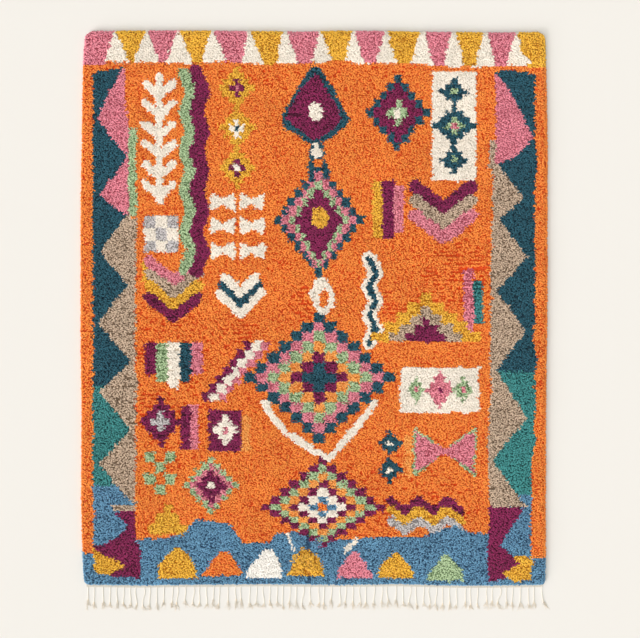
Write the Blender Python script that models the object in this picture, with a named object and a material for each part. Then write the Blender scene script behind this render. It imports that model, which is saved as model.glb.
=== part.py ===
"""Hand-knotted wool rug lying flat, with a knotted cotton fringe at its foot.

Metres, +Z up. The rug lies on z = 0 with its head towards +Y and its fringe
towards -Y. The box round both pieces is centred on x = y = 0.
"""

import math
import random

import bmesh
import bpy

# Pile: one slab of wool, woven ground and tufts together
PILE_LENGTH = 2.361
PILE_THICK = 0.021
EDGE_THICK = 0.013
GROUND_THICK = 0.0038
SHOULDER = 0.014
SECOND_ROW = 0.046
CELLS_ACROSS = 38
CELLS_ALONG = 46
HEAD_CORNER = 0.030
FOOT_CORNER = 0.016
TUFT_RISE = 0.0018

# Locks of wool that stick out at the slab's rim
LOCK_SHARE = 0.36
LOCK_REACH = (0.004, 0.009)
LOCK_TIP_SHARE = 0.45
LOCK_TIP_THICK = 0.003
LOCK_SWAY = 0.004

# Fringe: a narrow woven strip with the strands' roots fused into it
STRIP_GAP = 0.0005
STRIP_DEPTH = 0.014
STRIP_THICK = 0.003
STRIP_LEFT = -0.976
STRIP_RIGHT = 0.982
STRANDS = 66
FIRST_STRAND = -0.969
LAST_STRAND = 0.976
STRAND_SHIFT = 0.005
STRAND_LENGTH = 0.094
STRAND_LENGTH_CHANGE = 0.005
ROOT_WIDTH = 0.0075
LEAN = 0.0035
LEAN_CHANGE = 0.0020
LAST_SPLAY = 0.020

# Distance of each long edge from the middle line, down from the head
EDGES = (
    # from_head, left, right
    (0.000, 0.976, 0.987),
    (0.120, 0.984, 0.989),
    (0.300, 0.988, 0.994),
    (0.510, 0.991, 0.997),
    (0.720, 0.995, 0.996),
    (1.150, 0.995, 0.996),
    (1.370, 0.995, 0.993),
    (1.580, 0.991, 0.990),
    (2.010, 0.993, 0.989),
    (2.250, 0.987, 0.989),
    (2.361, 0.980, 0.986),
)

# How far the uneven head edge lies beyond half the pile's length
HEAD_EDGE = (
    # across, beyond
    (-1.00, 0.0015),
    (-0.70, 0.0044),
    (-0.45, 0.0040),
    (-0.22, 0.0020),
    (-0.05, -0.0010),
    (0.10, 0.0033),
    (0.33, 0.0018),
    (0.50, -0.0015),
    (0.65, -0.0018),
    (0.80, -0.0045),
    (1.00, -0.0005),
)

# How far the uneven foot edge lies beyond half the pile's length
FOOT_EDGE = (
    # across, beyond
    (-1.00, 0.0015),
    (-0.75, 0.0046),
    (-0.58, 0.0020),
    (-0.42, 0.0016),
    (-0.22, -0.0012),
    (0.05, 0.0016),
    (0.20, 0.0008),
    (0.36, -0.0012),
    (0.52, 0.0030),
    (0.65, 0.0062),
    (0.80, 0.0043),
    (1.00, 0.0018),
)

# Soft lumps of the pile, each a long wave that crosses the rug
LUMPS = (
    # height, turns_across, turns_along, start
    (0.0009, 1.3, 2.1, 0.4),
    (0.0009, 3.7, -1.9, 1.7),
    (0.0009, -2.2, 5.3, 3.0),
    (0.0010, 9.1, 6.4, 0.9),
    (0.0010, 11.9, -10.7, 2.2),
)

# A strand's sections, from the strip to its frayed end
STRAND_SECTIONS = (
    # share_of_length, width, thickness, share_of_lean
    (0.08, 0.0072, 0.0050, 0.03),
    (0.58, 0.0062, 0.0055, 0.30),
    (0.68, 0.0088, 0.0080, 0.45),
    (0.76, 0.0064, 0.0050, 0.60),
    (1.00, 0.0115, 0.0028, 1.00),
)

WOOL = (0.716, 0.184, 0.045, 1.0)
COTTON = (0.807, 0.753, 0.658, 1.0)


def clear_scene():
    """Removes everything the scene opens with."""
    for item in list(bpy.data.objects):
        bpy.data.objects.remove(item)


def read_table(table, place, column):
    """Reads a column of a table at a place, straight between the table's rows."""
    for before, after in zip(table, table[1:]):
        if place <= after[0]:
            share = (place - before[0]) / (after[0] - before[0])
            return before[column] + share * (after[column] - before[column])
    return table[-1][column]


def foot_line(x):
    """Y of the pile's uneven foot edge, where the strip follows it."""
    return -PILE_LENGTH / 2 - read_table(FOOT_EDGE, x, 1)


def head_line(x):
    """Y of the pile's uneven head edge."""
    return PILE_LENGTH / 2 + read_table(HEAD_EDGE, x, 1)


def lumps(x, y):
    """Height that the soft lumps add at a place."""
    rise = 0.0
    for height, across, along, start in LUMPS:
        rise += height * math.sin(2.0 * (across * x + along * y) + start)
    return rise


def spaced_shares(cells, length):
    """Grid lines from 0 to 1 with a narrow shoulder row and a second row at each end."""
    near = [0.0, SHOULDER / length, SECOND_ROW / length]
    middle_cells = cells - 4
    span = 1.0 - 2.0 * near[2]
    middle = [near[2] + span * i / middle_cells for i in range(1, middle_cells)]
    far = [1.0 - share for share in reversed(near)]
    return near + middle + far


def round_corner(x, y, left, right, foot, head):
    """Moves a place in a square corner onto the rounded corner."""
    radius = HEAD_CORNER if y > 0.0 else FOOT_CORNER
    centre_x = right - radius if x > 0.0 else -left + radius
    centre_y = head - radius if y > 0.0 else foot + radius
    out_x = (x - centre_x) * (1.0 if x > 0.0 else -1.0)
    out_y = (y - centre_y) * (1.0 if y > 0.0 else -1.0)
    if out_x <= 0.0 or out_y <= 0.0:
        return x, y
    shrink = max(out_x, out_y) / math.hypot(out_x, out_y)
    return centre_x + (x - centre_x) * shrink, centre_y + (y - centre_y) * shrink


def place_top(mesh, dice):
    """Gives the flat grid the rug's outline and the pile's lumpy top."""
    across = spaced_shares(CELLS_ACROSS, EDGES[5][1] + EDGES[5][2])
    along = spaced_shares(CELLS_ALONG, PILE_LENGTH)
    for vert in mesh.verts:
        column = round((vert.co.x + 1.0) / 2.0 * CELLS_ACROSS)
        row = round((vert.co.y + 1.0) / 2.0 * CELLS_ALONG)
        from_head = PILE_LENGTH * (1.0 - along[row])
        left = read_table(EDGES, from_head, 1)
        right = read_table(EDGES, from_head, 2)
        x = -left + across[column] * (left + right)
        foot = foot_line(x)
        head = head_line(x)
        y = foot + along[row] * (head - foot)
        x, y = round_corner(x, y, left, right, foot, head)
        ring = min(column, row, CELLS_ACROSS - column, CELLS_ALONG - row)
        inner = PILE_THICK + lumps(x, y) + dice.uniform(-TUFT_RISE, TUFT_RISE)
        if ring == 0:
            height = EDGE_THICK + dice.uniform(-TUFT_RISE, TUFT_RISE)
        elif ring == 1:
            height = EDGE_THICK + 0.72 * (inner - EDGE_THICK)
        else:
            height = inner
        vert.co = (x, y, height)


def split_rim(mesh):
    """Cuts each rim edge twice, at the two sides of its lock's root."""
    start = (1.0 - LOCK_SHARE) / 2.0
    for edge in [edge for edge in mesh.edges if edge.is_boundary]:
        second, corner = bmesh.utils.edge_split(edge, edge.verts[0], start)
        bmesh.utils.edge_split(second, corner, LOCK_SHARE / (LOCK_SHARE + start))


def wall_down(mesh, height):
    """Draws the slab's open rim straight down to a height and gives its new faces."""
    rim = [edge for edge in mesh.edges if edge.is_boundary]
    made = bmesh.ops.extrude_edge_only(mesh, edges=rim)["geom"]
    for item in made:
        if isinstance(item, bmesh.types.BMVert):
            item.co.z = height
    return [item for item in made if isinstance(item, bmesh.types.BMFace)]


def pull_locks(mesh, roots, dice):
    """Pulls a tapered lock of wool out of each root face, down towards the floor."""
    for root in roots:
        centre = root.calc_center_median()
        outward = root.normal.copy()
        outward.z = 0.0
        outward.normalize()
        side = outward.cross((0.0, 0.0, 1.0))
        reach = dice.uniform(*LOCK_REACH)
        sway = dice.uniform(-LOCK_SWAY, LOCK_SWAY)
        at_foot = outward.y < -0.2
        low = GROUND_THICK if at_foot else 0.0
        tip = bmesh.ops.extrude_discrete_faces(mesh, faces=[root])["faces"][0]
        for vert in tip.verts:
            along = (vert.co - centre).dot(side) * LOCK_TIP_SHARE
            place = centre + outward * reach + side * (along + sway)
            top = vert.co.z > centre.z
            place.z = low + LOCK_TIP_THICK * (1.6 if top else 0.0)
            vert.co = place


def build_pile(dice):
    """Builds the pile as one closed slab."""
    mesh = bmesh.new()
    bmesh.ops.create_grid(
        mesh, x_segments=CELLS_ACROSS, y_segments=CELLS_ALONG, size=1.0
    )
    place_top(mesh, dice)
    split_rim(mesh)
    upper = wall_down(mesh, GROUND_THICK)
    wall_down(mesh, 0.0)
    rim = [edge for edge in mesh.edges if edge.is_boundary]
    underside = bmesh.ops.contextual_create(mesh, geom=rim)["faces"]
    bmesh.ops.recalc_face_normals(mesh, faces=mesh.faces)
    bmesh.ops.poke(mesh, faces=underside)
    pull_locks(mesh, find_roots(upper), dice)
    bmesh.ops.triangulate(mesh, faces=mesh.faces)
    return mesh


def turn_of(face):
    """Angle of a face's middle round the rug."""
    centre = face.calc_center_median()
    return math.atan2(centre.y, centre.x)


def find_roots(wall):
    """Picks the lock's root, the middle one of each rim edge's three wall faces."""
    roots = []
    for face in wall:
        top = max(face.edges, key=lambda edge: sum(v.co.z for v in edge.verts))
        if all(len(vert.link_edges) == 3 for vert in top.verts):
            roots.append(face)
    return sorted(roots, key=turn_of)


def uneven(number, start):
    """A value from -1 to 1 that jumps about from one strand to the next."""
    return math.sin(2.4 * number + 3.0 * math.sin(0.9 * number + start))


def strand_place(number):
    """X of the middle of a strand's root."""
    pitch = (LAST_STRAND - FIRST_STRAND) / (STRANDS - 1)
    inner = 0 < number < STRANDS - 1
    return FIRST_STRAND + number * pitch + STRAND_SHIFT * inner * uneven(number, 0.4)


def strip_places():
    """X of every cut across the strip, gap and strand in turn, from left to right."""
    places = [STRIP_LEFT]
    for number in range(STRANDS):
        middle = strand_place(number)
        places += [middle - ROOT_WIDTH / 2.0, middle + ROOT_WIDTH / 2.0]
    return places + [STRIP_RIGHT]


def grow_strand(mesh, root, length, lean, widen):
    """Grows one strand out of its root in the strip's wall, level on the floor."""
    centre = root.calc_center_median()
    face = root
    for share, width, thick, lean_share in STRAND_SECTIONS:
        middle = centre.x + lean * lean_share
        face = bmesh.ops.extrude_discrete_faces(mesh, faces=[face])["faces"][0]
        old_middle = face.calc_center_median()
        for vert in face.verts:
            right = 1.0 if vert.co.x > old_middle.x else -1.0
            top = vert.co.z > old_middle.z
            half = width * widen * (0.36 if top else 0.5)
            vert.co.x = middle + right * half
            vert.co.y = centre.y - length * share
            vert.co.z = thick if top else 0.0


def build_fringe(dice):
    """Builds the strip and its strands as one closed body."""
    places = strip_places()
    mesh = bmesh.new()
    bmesh.ops.create_grid(mesh, x_segments=len(places) - 1, y_segments=1, size=1.0)
    for vert in mesh.verts:
        x = places[round((vert.co.x + 1.0) / 2.0 * (len(places) - 1))]
        back = foot_line(x) - STRIP_GAP
        y = back if vert.co.y > 0.0 else back - STRIP_DEPTH
        vert.co = (x, y, 0.0)
    upper = bmesh.ops.extrude_face_region(mesh, geom=list(mesh.faces))["geom"]
    for item in upper:
        if isinstance(item, bmesh.types.BMVert):
            item.co.z = STRIP_THICK
    bmesh.ops.recalc_face_normals(mesh, faces=mesh.faces)
    front = [face for face in mesh.faces if face.normal.y < -0.9]
    front.sort(key=lambda face: face.calc_center_median().x)
    for number, root in enumerate(front[1::2]):
        length = STRAND_LENGTH + STRAND_LENGTH_CHANGE * uneven(number, 1.9)
        lean = LEAN * math.sin(0.31 * number) + LEAN_CHANGE * uneven(number, 3.1)
        if number == STRANDS - 1:
            lean = LAST_SPLAY
        grow_strand(mesh, root, length, lean, dice.uniform(0.92, 1.06))
    bmesh.ops.triangulate(mesh, faces=mesh.faces)
    return mesh


def centre_meshes(meshes):
    """Moves all pieces together so that the box round them is centred on x = y = 0."""
    places = [vert.co for mesh in meshes for vert in mesh.verts]
    for axis in (0, 1):
        low = min(place[axis] for place in places)
        high = max(place[axis] for place in places)
        for place in places:
            place[axis] -= (low + high) / 2.0


def make_material(name, colour):
    """Makes a piece's own plain material."""
    material = bpy.data.materials.new(name)
    material.use_nodes = True
    shader = material.node_tree.nodes["Principled BSDF"]
    shader.inputs["Base Color"].default_value = colour
    shader.inputs["Roughness"].default_value = 0.9
    return material


def add_piece(mesh, name, material, collection):
    """Turns a worked mesh into a named object of the rug's collection."""
    data = bpy.data.meshes.new(name)
    mesh.to_mesh(data)
    mesh.free()
    data.materials.append(material)
    piece = bpy.data.objects.new(name, data)
    collection.objects.link(piece)


def main():
    """Builds the rug."""
    clear_scene()
    collection = bpy.data.collections.new("beni_ourain_rug")
    bpy.context.scene.collection.children.link(collection)
    dice = random.Random(7)
    pile = build_pile(dice)
    fringe = build_fringe(dice)
    centre_meshes([pile, fringe])
    add_piece(pile, "pile", make_material("wool_pile", WOOL), collection)
    add_piece(fringe, "fringe", make_material("cotton_fringe", COTTON), collection)


main()
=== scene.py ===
"""Looks of a hand-knotted wool rug that lies flat, with a cotton fringe at its foot.

Metres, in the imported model's frame: +Z up, the head of the rug towards +Y.
Places on the pile are given as across, to the right of its middle line, and
down, from its head edge.
"""

import math

import bmesh
import bpy
import numpy as np
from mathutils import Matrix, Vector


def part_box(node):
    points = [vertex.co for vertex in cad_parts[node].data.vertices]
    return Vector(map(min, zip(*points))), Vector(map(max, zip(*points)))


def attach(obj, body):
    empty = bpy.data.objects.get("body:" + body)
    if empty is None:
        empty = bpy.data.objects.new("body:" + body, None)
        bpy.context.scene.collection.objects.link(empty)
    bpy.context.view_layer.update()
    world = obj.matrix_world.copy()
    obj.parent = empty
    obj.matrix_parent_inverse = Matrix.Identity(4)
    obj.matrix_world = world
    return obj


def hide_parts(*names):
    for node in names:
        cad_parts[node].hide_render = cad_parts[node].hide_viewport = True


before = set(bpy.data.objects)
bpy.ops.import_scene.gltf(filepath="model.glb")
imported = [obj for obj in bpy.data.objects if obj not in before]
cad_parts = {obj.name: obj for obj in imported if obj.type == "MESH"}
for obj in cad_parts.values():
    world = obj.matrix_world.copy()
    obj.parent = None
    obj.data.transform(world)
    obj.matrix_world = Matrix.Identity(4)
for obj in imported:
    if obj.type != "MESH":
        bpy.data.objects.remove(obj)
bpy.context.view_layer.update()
FRINGE_LOW, FRINGE_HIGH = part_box("fringe")

# Fringe, as in the solid: a woven strip, and thin cords of warp, each knotted and frayed
STRIP_LEFT = -0.976
STRIP_RIGHT = 0.982
STRIP_GAP = 0.0005
STRIP_DEPTH = 0.014
STRIP_THICK = 0.0030
STRIP_CELLS = (292, 3)
STRIP_RIB_PITCH = 0.0134
STRIP_RIB_RISE = 0.0003
CORDS = 66
FIRST_CORD = -0.969
LAST_CORD = 0.976
CORD_SHIFT = 0.005
CORD_LENGTH = 0.094
CORD_LENGTH_CHANGE = 0.005
CORD_ROOT = 0.004
LEAN = 0.0035
LEAN_CHANGE = 0.0020
LAST_SPLAY = 0.020
YARNS_IN_CORD = 3
YARN_RADIUS = 0.0012
CORD_RADIUS = 0.0009
TWIST_PITCH = 0.015
FRAYED_ENDS = 13
FRAYED_RADIUS = 0.0008
CORD_BOW = 0.0024
CORD_KNOT_AT = (0.56, 0.76)  # share of the cord's length
CORD_KNOT_LENGTH = (0.007, 0.011)
CORD_KNOT_RADIUS = (0.0022, 0.0030)
CORD_KNOT_PROFILE = (0.35, 0.85, 1.0, 0.80, 0.98, 0.90, 0.40)  # shares of its radius

# The slab of ground and pile
MIDDLE = FRINGE_LOW[0] - STRIP_LEFT
SLAB_LENGTH = 2.361
FOOT_RISE = 0.0012
SLAB_HEAD = FRINGE_HIGH[1] + STRIP_GAP - FOOT_RISE + SLAB_LENGTH
HEAD_OVERHANG = 0.006
HEAD = SLAB_HEAD + HEAD_OVERHANG
GROUND_THICK = 0.0036
BODY_RIM_TOP = 0.0070
BODY_TOP = 0.0115
BODY_SLOPE = 0.020
BODY_GRAIN = 0.0005
PILE_TOP = 0.0205
HEAD_CORNER = 0.034
FOOT_CORNER = 0.020

# Distance of each long edge of the woven ground from the middle line
EDGES = (
    # down, left, right
    (0.000, 0.976, 0.987),
    (0.120, 0.984, 0.989),
    (0.300, 0.988, 0.994),
    (0.510, 0.991, 0.997),
    (0.720, 0.995, 0.996),
    (1.150, 0.995, 0.996),
    (1.370, 0.995, 0.993),
    (1.580, 0.991, 0.990),
    (2.010, 0.993, 0.989),
    (2.250, 0.987, 0.989),
    (2.361, 0.980, 0.986),
)

# How far the uneven head edge lies beyond the even one
HEAD_EDGE = (
    # across, beyond
    (-1.00, 0.0015),
    (-0.70, 0.0044),
    (-0.45, 0.0040),
    (-0.22, 0.0020),
    (-0.05, -0.0010),
    (0.10, 0.0033),
    (0.33, 0.0018),
    (0.50, -0.0015),
    (0.65, -0.0018),
    (0.80, -0.0045),
    (1.00, -0.0005),
)

# How far the uneven foot edge lies beyond the even one; at most it lies FOOT_RISE short of it
FOOT_EDGE = (
    # across, beyond
    (-1.00, 0.0015),
    (-0.75, 0.0046),
    (-0.58, 0.0020),
    (-0.42, 0.0016),
    (-0.22, -0.0012),
    (0.05, 0.0016),
    (0.20, 0.0008),
    (0.36, -0.0012),
    (0.52, 0.0030),
    (0.65, 0.0062),
    (0.80, 0.0043),
    (1.00, 0.0018),
)

# Soft lumps of the pile: the solid's long waves, a little lower
LUMPS = (
    # height, turns_across, turns_along, start
    (0.0007, 1.3, 2.1, 0.4),
    (0.0007, 3.7, -1.9, 1.7),
    (0.0007, -2.2, 5.3, 3.0),
    (0.0008, 9.1, 6.4, 0.9),
    (0.0008, 11.9, -10.7, 2.2),
)

# Knots: rows run across the rug, and each knot shows two cut ends
KNOT_COLUMNS = 244
KNOT_ROWS = 270
ROW_STAGGER = 0.12  # share of a knot
ROW_SHIFT = 0.05
BODY_CELLS = (100, 118)

# Hand knotting wanders slowly along each edge of colour, a few knots at a time, and knot by knot
SLOW_WANDER = (0.0022, 0.0024)  # across, down
COMB_WANDER = 0.0024
COMB_KNOTS = 3
KNOT_WANDER = 0.0012

# A tuft of cut wool: its lock's reach from its middle each way, and from its tip to its widest
TUFT_LONG = (0.0058, 0.0078)
TUFT_SHORT = (0.0036, 0.0048)
TUFT_BLOOM = (0.0011, 0.0027)
TUFT_UNEVEN = (0.75, 1.25)
TUFT_BACK = 0.3  # share of its lean by which a root lies back
HALF_KNOT = (0.0010, 0.0027)
TUFT_SCATTER = 0.0007
TUFT_SWAY = (0.0022, 0.0015)  # across, along
TIP_SCATTER = 0.0009
SUNK_DEPTH = (0.0018, 0.0040)
PARTING_DEPTH = 0.0075
SUNK_RUN = 0.018
TUFTS_IN_PIECE = 32500

# Tufts near an edge stand lower and lean out over it
EDGE_SLOPE = 0.016
EDGE_DROP = 0.0055
EDGE_LEAN = 0.0030
SHADED_EDGE_LEAN = 0.0012

# Locks that lie out over the edge, and locks that lie tousled on the pile
RIM_PITCH = 0.0062
RIM_LONG = (0.0052, 0.0070)
RIM_SHORT = (0.0030, 0.0042)
RIM_BLOOM = (0.0025, 0.0050)
TOUSLED_LENGTH = (0.008, 0.018)
TOUSLED_LONG = (0.0032, 0.0044)
TOUSLED_SHORT = (0.0022, 0.0032)

# Each tuft or yarn has a square cell of its bake map, with a margin round it
CELL_MARGIN = 0.12
CELL_SPAN = 0.76

# Nothing reaches down to the floor itself
BODY_BOTTOM = 0.0002
STRIP_BOTTOM = 0.0003
YARN_BOTTOM = 0.0003
TUFT_BOTTOM = 0.0004

# Scales of the fine patterns: noise of scale s has clumps 1000 / s mm wide, a wave of scale s
# has bands 314 / s mm apart, and a slanting wave has them 628 / s mm apart each way
WOOL_FIBRE = 420.0  # clumps 2.4 mm wide, because single fibres are too fine to show
DYE_DRIFT = 5.0  # 200 mm, the drift of the dye from one lot to the next
GROUND_FIBRE = 240.0  # clumps 4 mm wide, one for each end of a knot
GROUND_WEFT = 31.0  # 10 mm, a shot of weft to each row of knots, 9 mm apart
COTTON_FIBRE = 260.0  # clumps 4 mm wide, because single fibres are too fine to show
STRIP_WARP = 65.0  # 4.8 mm, a pair of warps
STRIP_WEFT = 140.0  # 2.2 mm, one weft
TWIST_UNIT = 0.012  # length of yarn for each unit of its twist map
YARN_PLIES = 0.636  # a slanting crease once round a yarn and every 12 mm along it

# Yarns, dyed by hand
YARNS = {
    # name: colour of the lit ends, colour deep in the pile; they are a lit and a shaded copy of
    # the yarn's colour, painted light and painted shade
    "orange": ("#FF9D42", "#E24708"),
    "light_orange": ("#FFB55E", "#EC8430"),
    "pink": ("#F699A8", "#BC5567"),
    "mustard": ("#FFC945", "#C87F12"),
    "cream": ("#F2E7D8", "#EFE0CD"),
    "white": ("#F5EFE7", "#F3EADF"),
    "petrol": ("#2A6374", "#0D303F"),
    "jade": ("#489D9B", "#1A5153"),
    "blue": ("#72A6C7", "#2C5071"),
    "plum": ("#99245D", "#4F0B2E"),
    "sage": ("#C4DBAC", "#6E8A5A"),
    "taupe": ("#DEC3A9", "#7E6650"),
    "grey": ("#DFD8D7", "#9E9694"),
}
YARN_NAMES = list(YARNS)
UNDYED_GROUND = "#C9BDAB"
GROUND_COTTON = "#E2D9CA"
COTTON = "#F3EDE2"
# Tan of frayed cotton, also painted close to the floor as painted shade
COTTON_TAN = "#F9E6C9"
# The strip weave's hollows, painted darker as painted shade, and its crowns
STRIP_HOLLOWS = "#CFC6B6"
STRIP_CROWNS = "#E2DACE"

# The stage
FLOOR = "#E6E2DC"
BACKDROP = "#F0ECE4"
FLOOR_REACH = 14.0
WALL_SUNK = 0.3
WALL_STAGES = ((9.3, 1.0), (5.0, 0.03))  # rise, spread
SKY_COLOUR = (0.985, 0.995, 0.955)
SKY_STRENGTH = 0.49
LIGHTS = (
    # name, from_x, from_y, rise in degrees, spread in degrees, strength, colour
    ("overhead", -0.75, -0.62, 70, 70, 1.434, (0.99, 1.01, 1.0)),
    ("side", -0.72, -0.70, 20, 34, 2.390, (1.035, 0.97, 0.985)),
)
VIEW_WIDTH = 2.739
VIEW_CENTRE = (0.026, 1.233)  # across, down
VIEW_LEVEL = 0.02  # height at which the view is VIEW_WIDTH wide
LENS = 85
SENSOR_WIDTH = 36

# Places a little past the head, the foot and both sides
PAST_HEAD = -0.1
PAST_FOOT = 2.5
PAST_SIDE = 1.1

# Teeth of the head border
HEAD_TEETH = (
    # yarn, top_left, top_right, tip_left, tip_right, tip_down
    ("pink", -1.020, -0.853, -1.020, -0.898, 0.144),
    ("mustard", -0.848, -0.720, -0.796, -0.768, 0.130),
    ("pink", -0.714, -0.583, -0.666, -0.630, 0.134),
    ("mustard", -0.579, -0.442, -0.518, -0.478, 0.139),
    ("pink", -0.433, -0.281, -0.375, -0.307, 0.131),
    ("mustard", -0.273, -0.134, -0.216, -0.157, 0.141),
    ("pink", -0.117, 0.022, -0.072, -0.006, 0.136),
    ("mustard", 0.028, 0.161, 0.076, 0.138, 0.122),
    ("pink", 0.174, 0.307, 0.212, 0.265, 0.136),
    ("mustard", 0.314, 0.456, 0.354, 0.419, 0.139),
    ("pink", 0.471, 0.591, 0.509, 0.560, 0.147),
    ("mustard", 0.603, 0.732, 0.641, 0.692, 0.149),
    ("pink", 0.737, 0.861, 0.773, 0.828, 0.148),
)

# The head border's lower edge
HEAD_END = (
    # across, down
    (-1.00, 0.136),
    (-0.80, 0.128),
    (-0.70, 0.131),
    (-0.52, 0.139),
    (-0.40, 0.129),
    (-0.34, 0.129),
    (-0.22, 0.141),
    (-0.10, 0.137),
    (0.05, 0.134),
    (0.08, 0.123),
    (0.14, 0.122),
    (0.20, 0.138),
    (0.40, 0.138),
    (0.48, 0.143),
    (0.57, 0.152),
    (0.74, 0.152),
    (0.80, 0.148),
    (0.90, 0.148),
    (0.99, 0.155),
)
LAST_TOOTH = (
    # across, down
    (1.02, PAST_HEAD),
    (0.864, PAST_HEAD),
    (0.864, 0.000),
    (0.889, 0.091),
    (0.926, 0.132),
    (0.910, 0.143),
    (0.920, 0.153),
    (1.020, 0.156),
)


def to_linear(code):
    """Turns a hex colour into linear light."""
    values = [int(code[i : i + 2], 16) / 255 for i in (1, 3, 5)]
    return [v / 12.92 if v <= 0.04045 else ((v + 0.055) / 1.055) ** 2.4 for v in values]


# ---------------------------------------------------------------- the chart


def inside(points, across, down):
    """Says which knots lie inside a polygon."""
    hit = np.zeros(across.shape, bool)
    for (x1, y1), (x2, y2) in zip(points, points[1:] + points[:1]):
        if y1 == y2:
            continue
        crosses = (y1 > down) != (y2 > down)
        hit ^= crosses & (across < x1 + (x2 - x1) * (down - y1) / (y2 - y1))
    return hit


def fill(chart, yarn, points):
    """Knots a polygon in one yarn."""
    hit = inside(list(points), chart["across"], chart["down"])
    chart["yarn"][hit] = YARN_NAMES.index(yarn)


def bar(chart, yarn, left, right, top, bottom):
    """Knots an upright block in one yarn."""
    fill(chart, yarn, [(left, top), (right, top), (right, bottom), (left, bottom)])


def band(chart, yarn, points, width):
    """Knots a band of one width along a bent line."""
    near = np.full(chart["across"].shape, 9.0)
    for (x1, y1), (x2, y2) in zip(points, points[1:]):
        long = math.hypot(x2 - x1, y2 - y1)
        along = (x2 - x1) / long, (y2 - y1) / long
        off = chart["across"] - x1, chart["down"] - y1
        share = np.clip(off[0] * along[0] + off[1] * along[1], 0, long)
        gap = np.hypot(off[0] - share * along[0], off[1] - share * along[1])
        near = np.minimum(near, gap)
    chart["yarn"][near < width / 2] = YARN_NAMES.index(yarn)


def stepped_lozenge(chart, across, down, cell, rings):
    """Knots a lozenge of blocks, ring on ring from its core; blocks below may be shorter."""
    right = np.rint((chart["across"] - across) / cell[0])
    low = chart["down"] - down
    low = np.rint(low / np.where(low < 0, cell[1], cell[-1]))
    ring = np.abs(right) + np.abs(low)
    for number, yarn in enumerate(rings):
        if yarn:
            chart["yarn"][ring == number] = YARN_NAMES.index(yarn)


def stepped_diamonds(chart, across, down, step, diamonds):
    """Knots diamonds one inside the next, whose sides go down in steps."""
    right = np.abs(chart["across"] - across)
    low = np.rint((chart["down"] - down) / step) * step
    for yarn, half, above, below in diamonds:
        share = np.where(low < 0, -low / above, low / below)
        chart["yarn"][right < half * (1 - share)] = YARN_NAMES.index(yarn)


def oval(chart, yarn, across, down, wide, tall):
    """Knots an oval."""
    x = (chart["across"] - across) / (wide / 2)
    y = (chart["down"] - down) / (tall / 2)
    chart["yarn"][x * x + y * y < 1] = YARN_NAMES.index(yarn)


def knot_head(chart):
    """The head border: cream ground with hanging teeth, edged by the field."""
    fill(chart, "cream", [(-PAST_SIDE, PAST_HEAD), *HEAD_END, (PAST_SIDE, PAST_HEAD)])
    for yarn, top_left, top_right, tip_left, tip_right, tip_down in HEAD_TEETH:
        points = [
            (top_left, PAST_HEAD),
            (top_left, 0.0),
            (tip_left, tip_down),
            (tip_right, tip_down),
            (top_right, 0.0),
            (top_right, PAST_HEAD),
        ]
        fill(chart, yarn, points)
    fill(chart, "mustard", LAST_TOOTH)


# Side panels: where their inner and outer edges run, down the rug
LEFT_PANEL = (
    # down, inner, outer
    (0.150, 0.809, 0.946),
    (0.290, 0.809, 0.946),
    (0.450, 0.792, 0.946),
    (0.790, 0.792, 0.946),
    (0.800, 0.760, 0.946),
    (1.450, 0.763, 0.944),
    (1.500, 0.750, 0.946),
    (1.600, 0.762, 0.946),
    (2.160, 0.762, 0.944),
    (2.230, 0.738, 0.944),
    (2.370, 0.742, 0.944),
)
RIGHT_PANEL = (
    # down, inner, outer
    (0.160, 0.777, 0.949),
    (0.450, 0.779, 0.944),
    (0.550, 0.777, 0.958),
    (0.590, 0.777, 0.952),
    (0.600, 0.763, 0.951),
    (0.750, 0.762, 0.944),
    (0.900, 0.760, 0.948),
    (1.350, 0.755, 0.940),
    (1.410, 0.756, 0.957),
    (1.450, 0.757, 0.948),
    (1.600, 0.755, 0.949),
    (1.700, 0.746, 0.940),
    (1.750, 0.746, 0.952),
    (1.800, 0.745, 0.938),
    (1.900, 0.744, 0.930),
    (2.030, 0.754, 0.932),
    (2.150, 0.749, 0.929),
    (2.370, 0.744, 0.934),
)

# Slanting head end of each panel
LEFT_TOP = (
    # from_middle, down
    (0.819, 0.152),
    (0.945, 0.181),
)
RIGHT_TOP = (
    # from_middle, down
    (0.790, 0.176),
    (0.860, 0.167),
    (0.949, 0.186),
)

# Grounds of each panel, from where each starts
LEFT_GROUNDS = (
    # yarn, down
    ("petrol", 0.0),
    ("jade", 1.518),
    ("blue", 1.946),
)
RIGHT_GROUNDS = (
    # yarn, down
    ("petrol", 0.0),
    ("jade", 1.457),
    ("blue", 1.985),
)

# Small blocks beside the panels
SIDE_BLOCKS = (
    # yarn, left, right, top, bottom
    ("sage", -0.794, -0.760, 0.417, 0.790),
    ("taupe", 0.752, 0.779, 0.468, 0.592),
    ("taupe", -0.863, -0.762, 2.030, 2.056),
)

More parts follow.
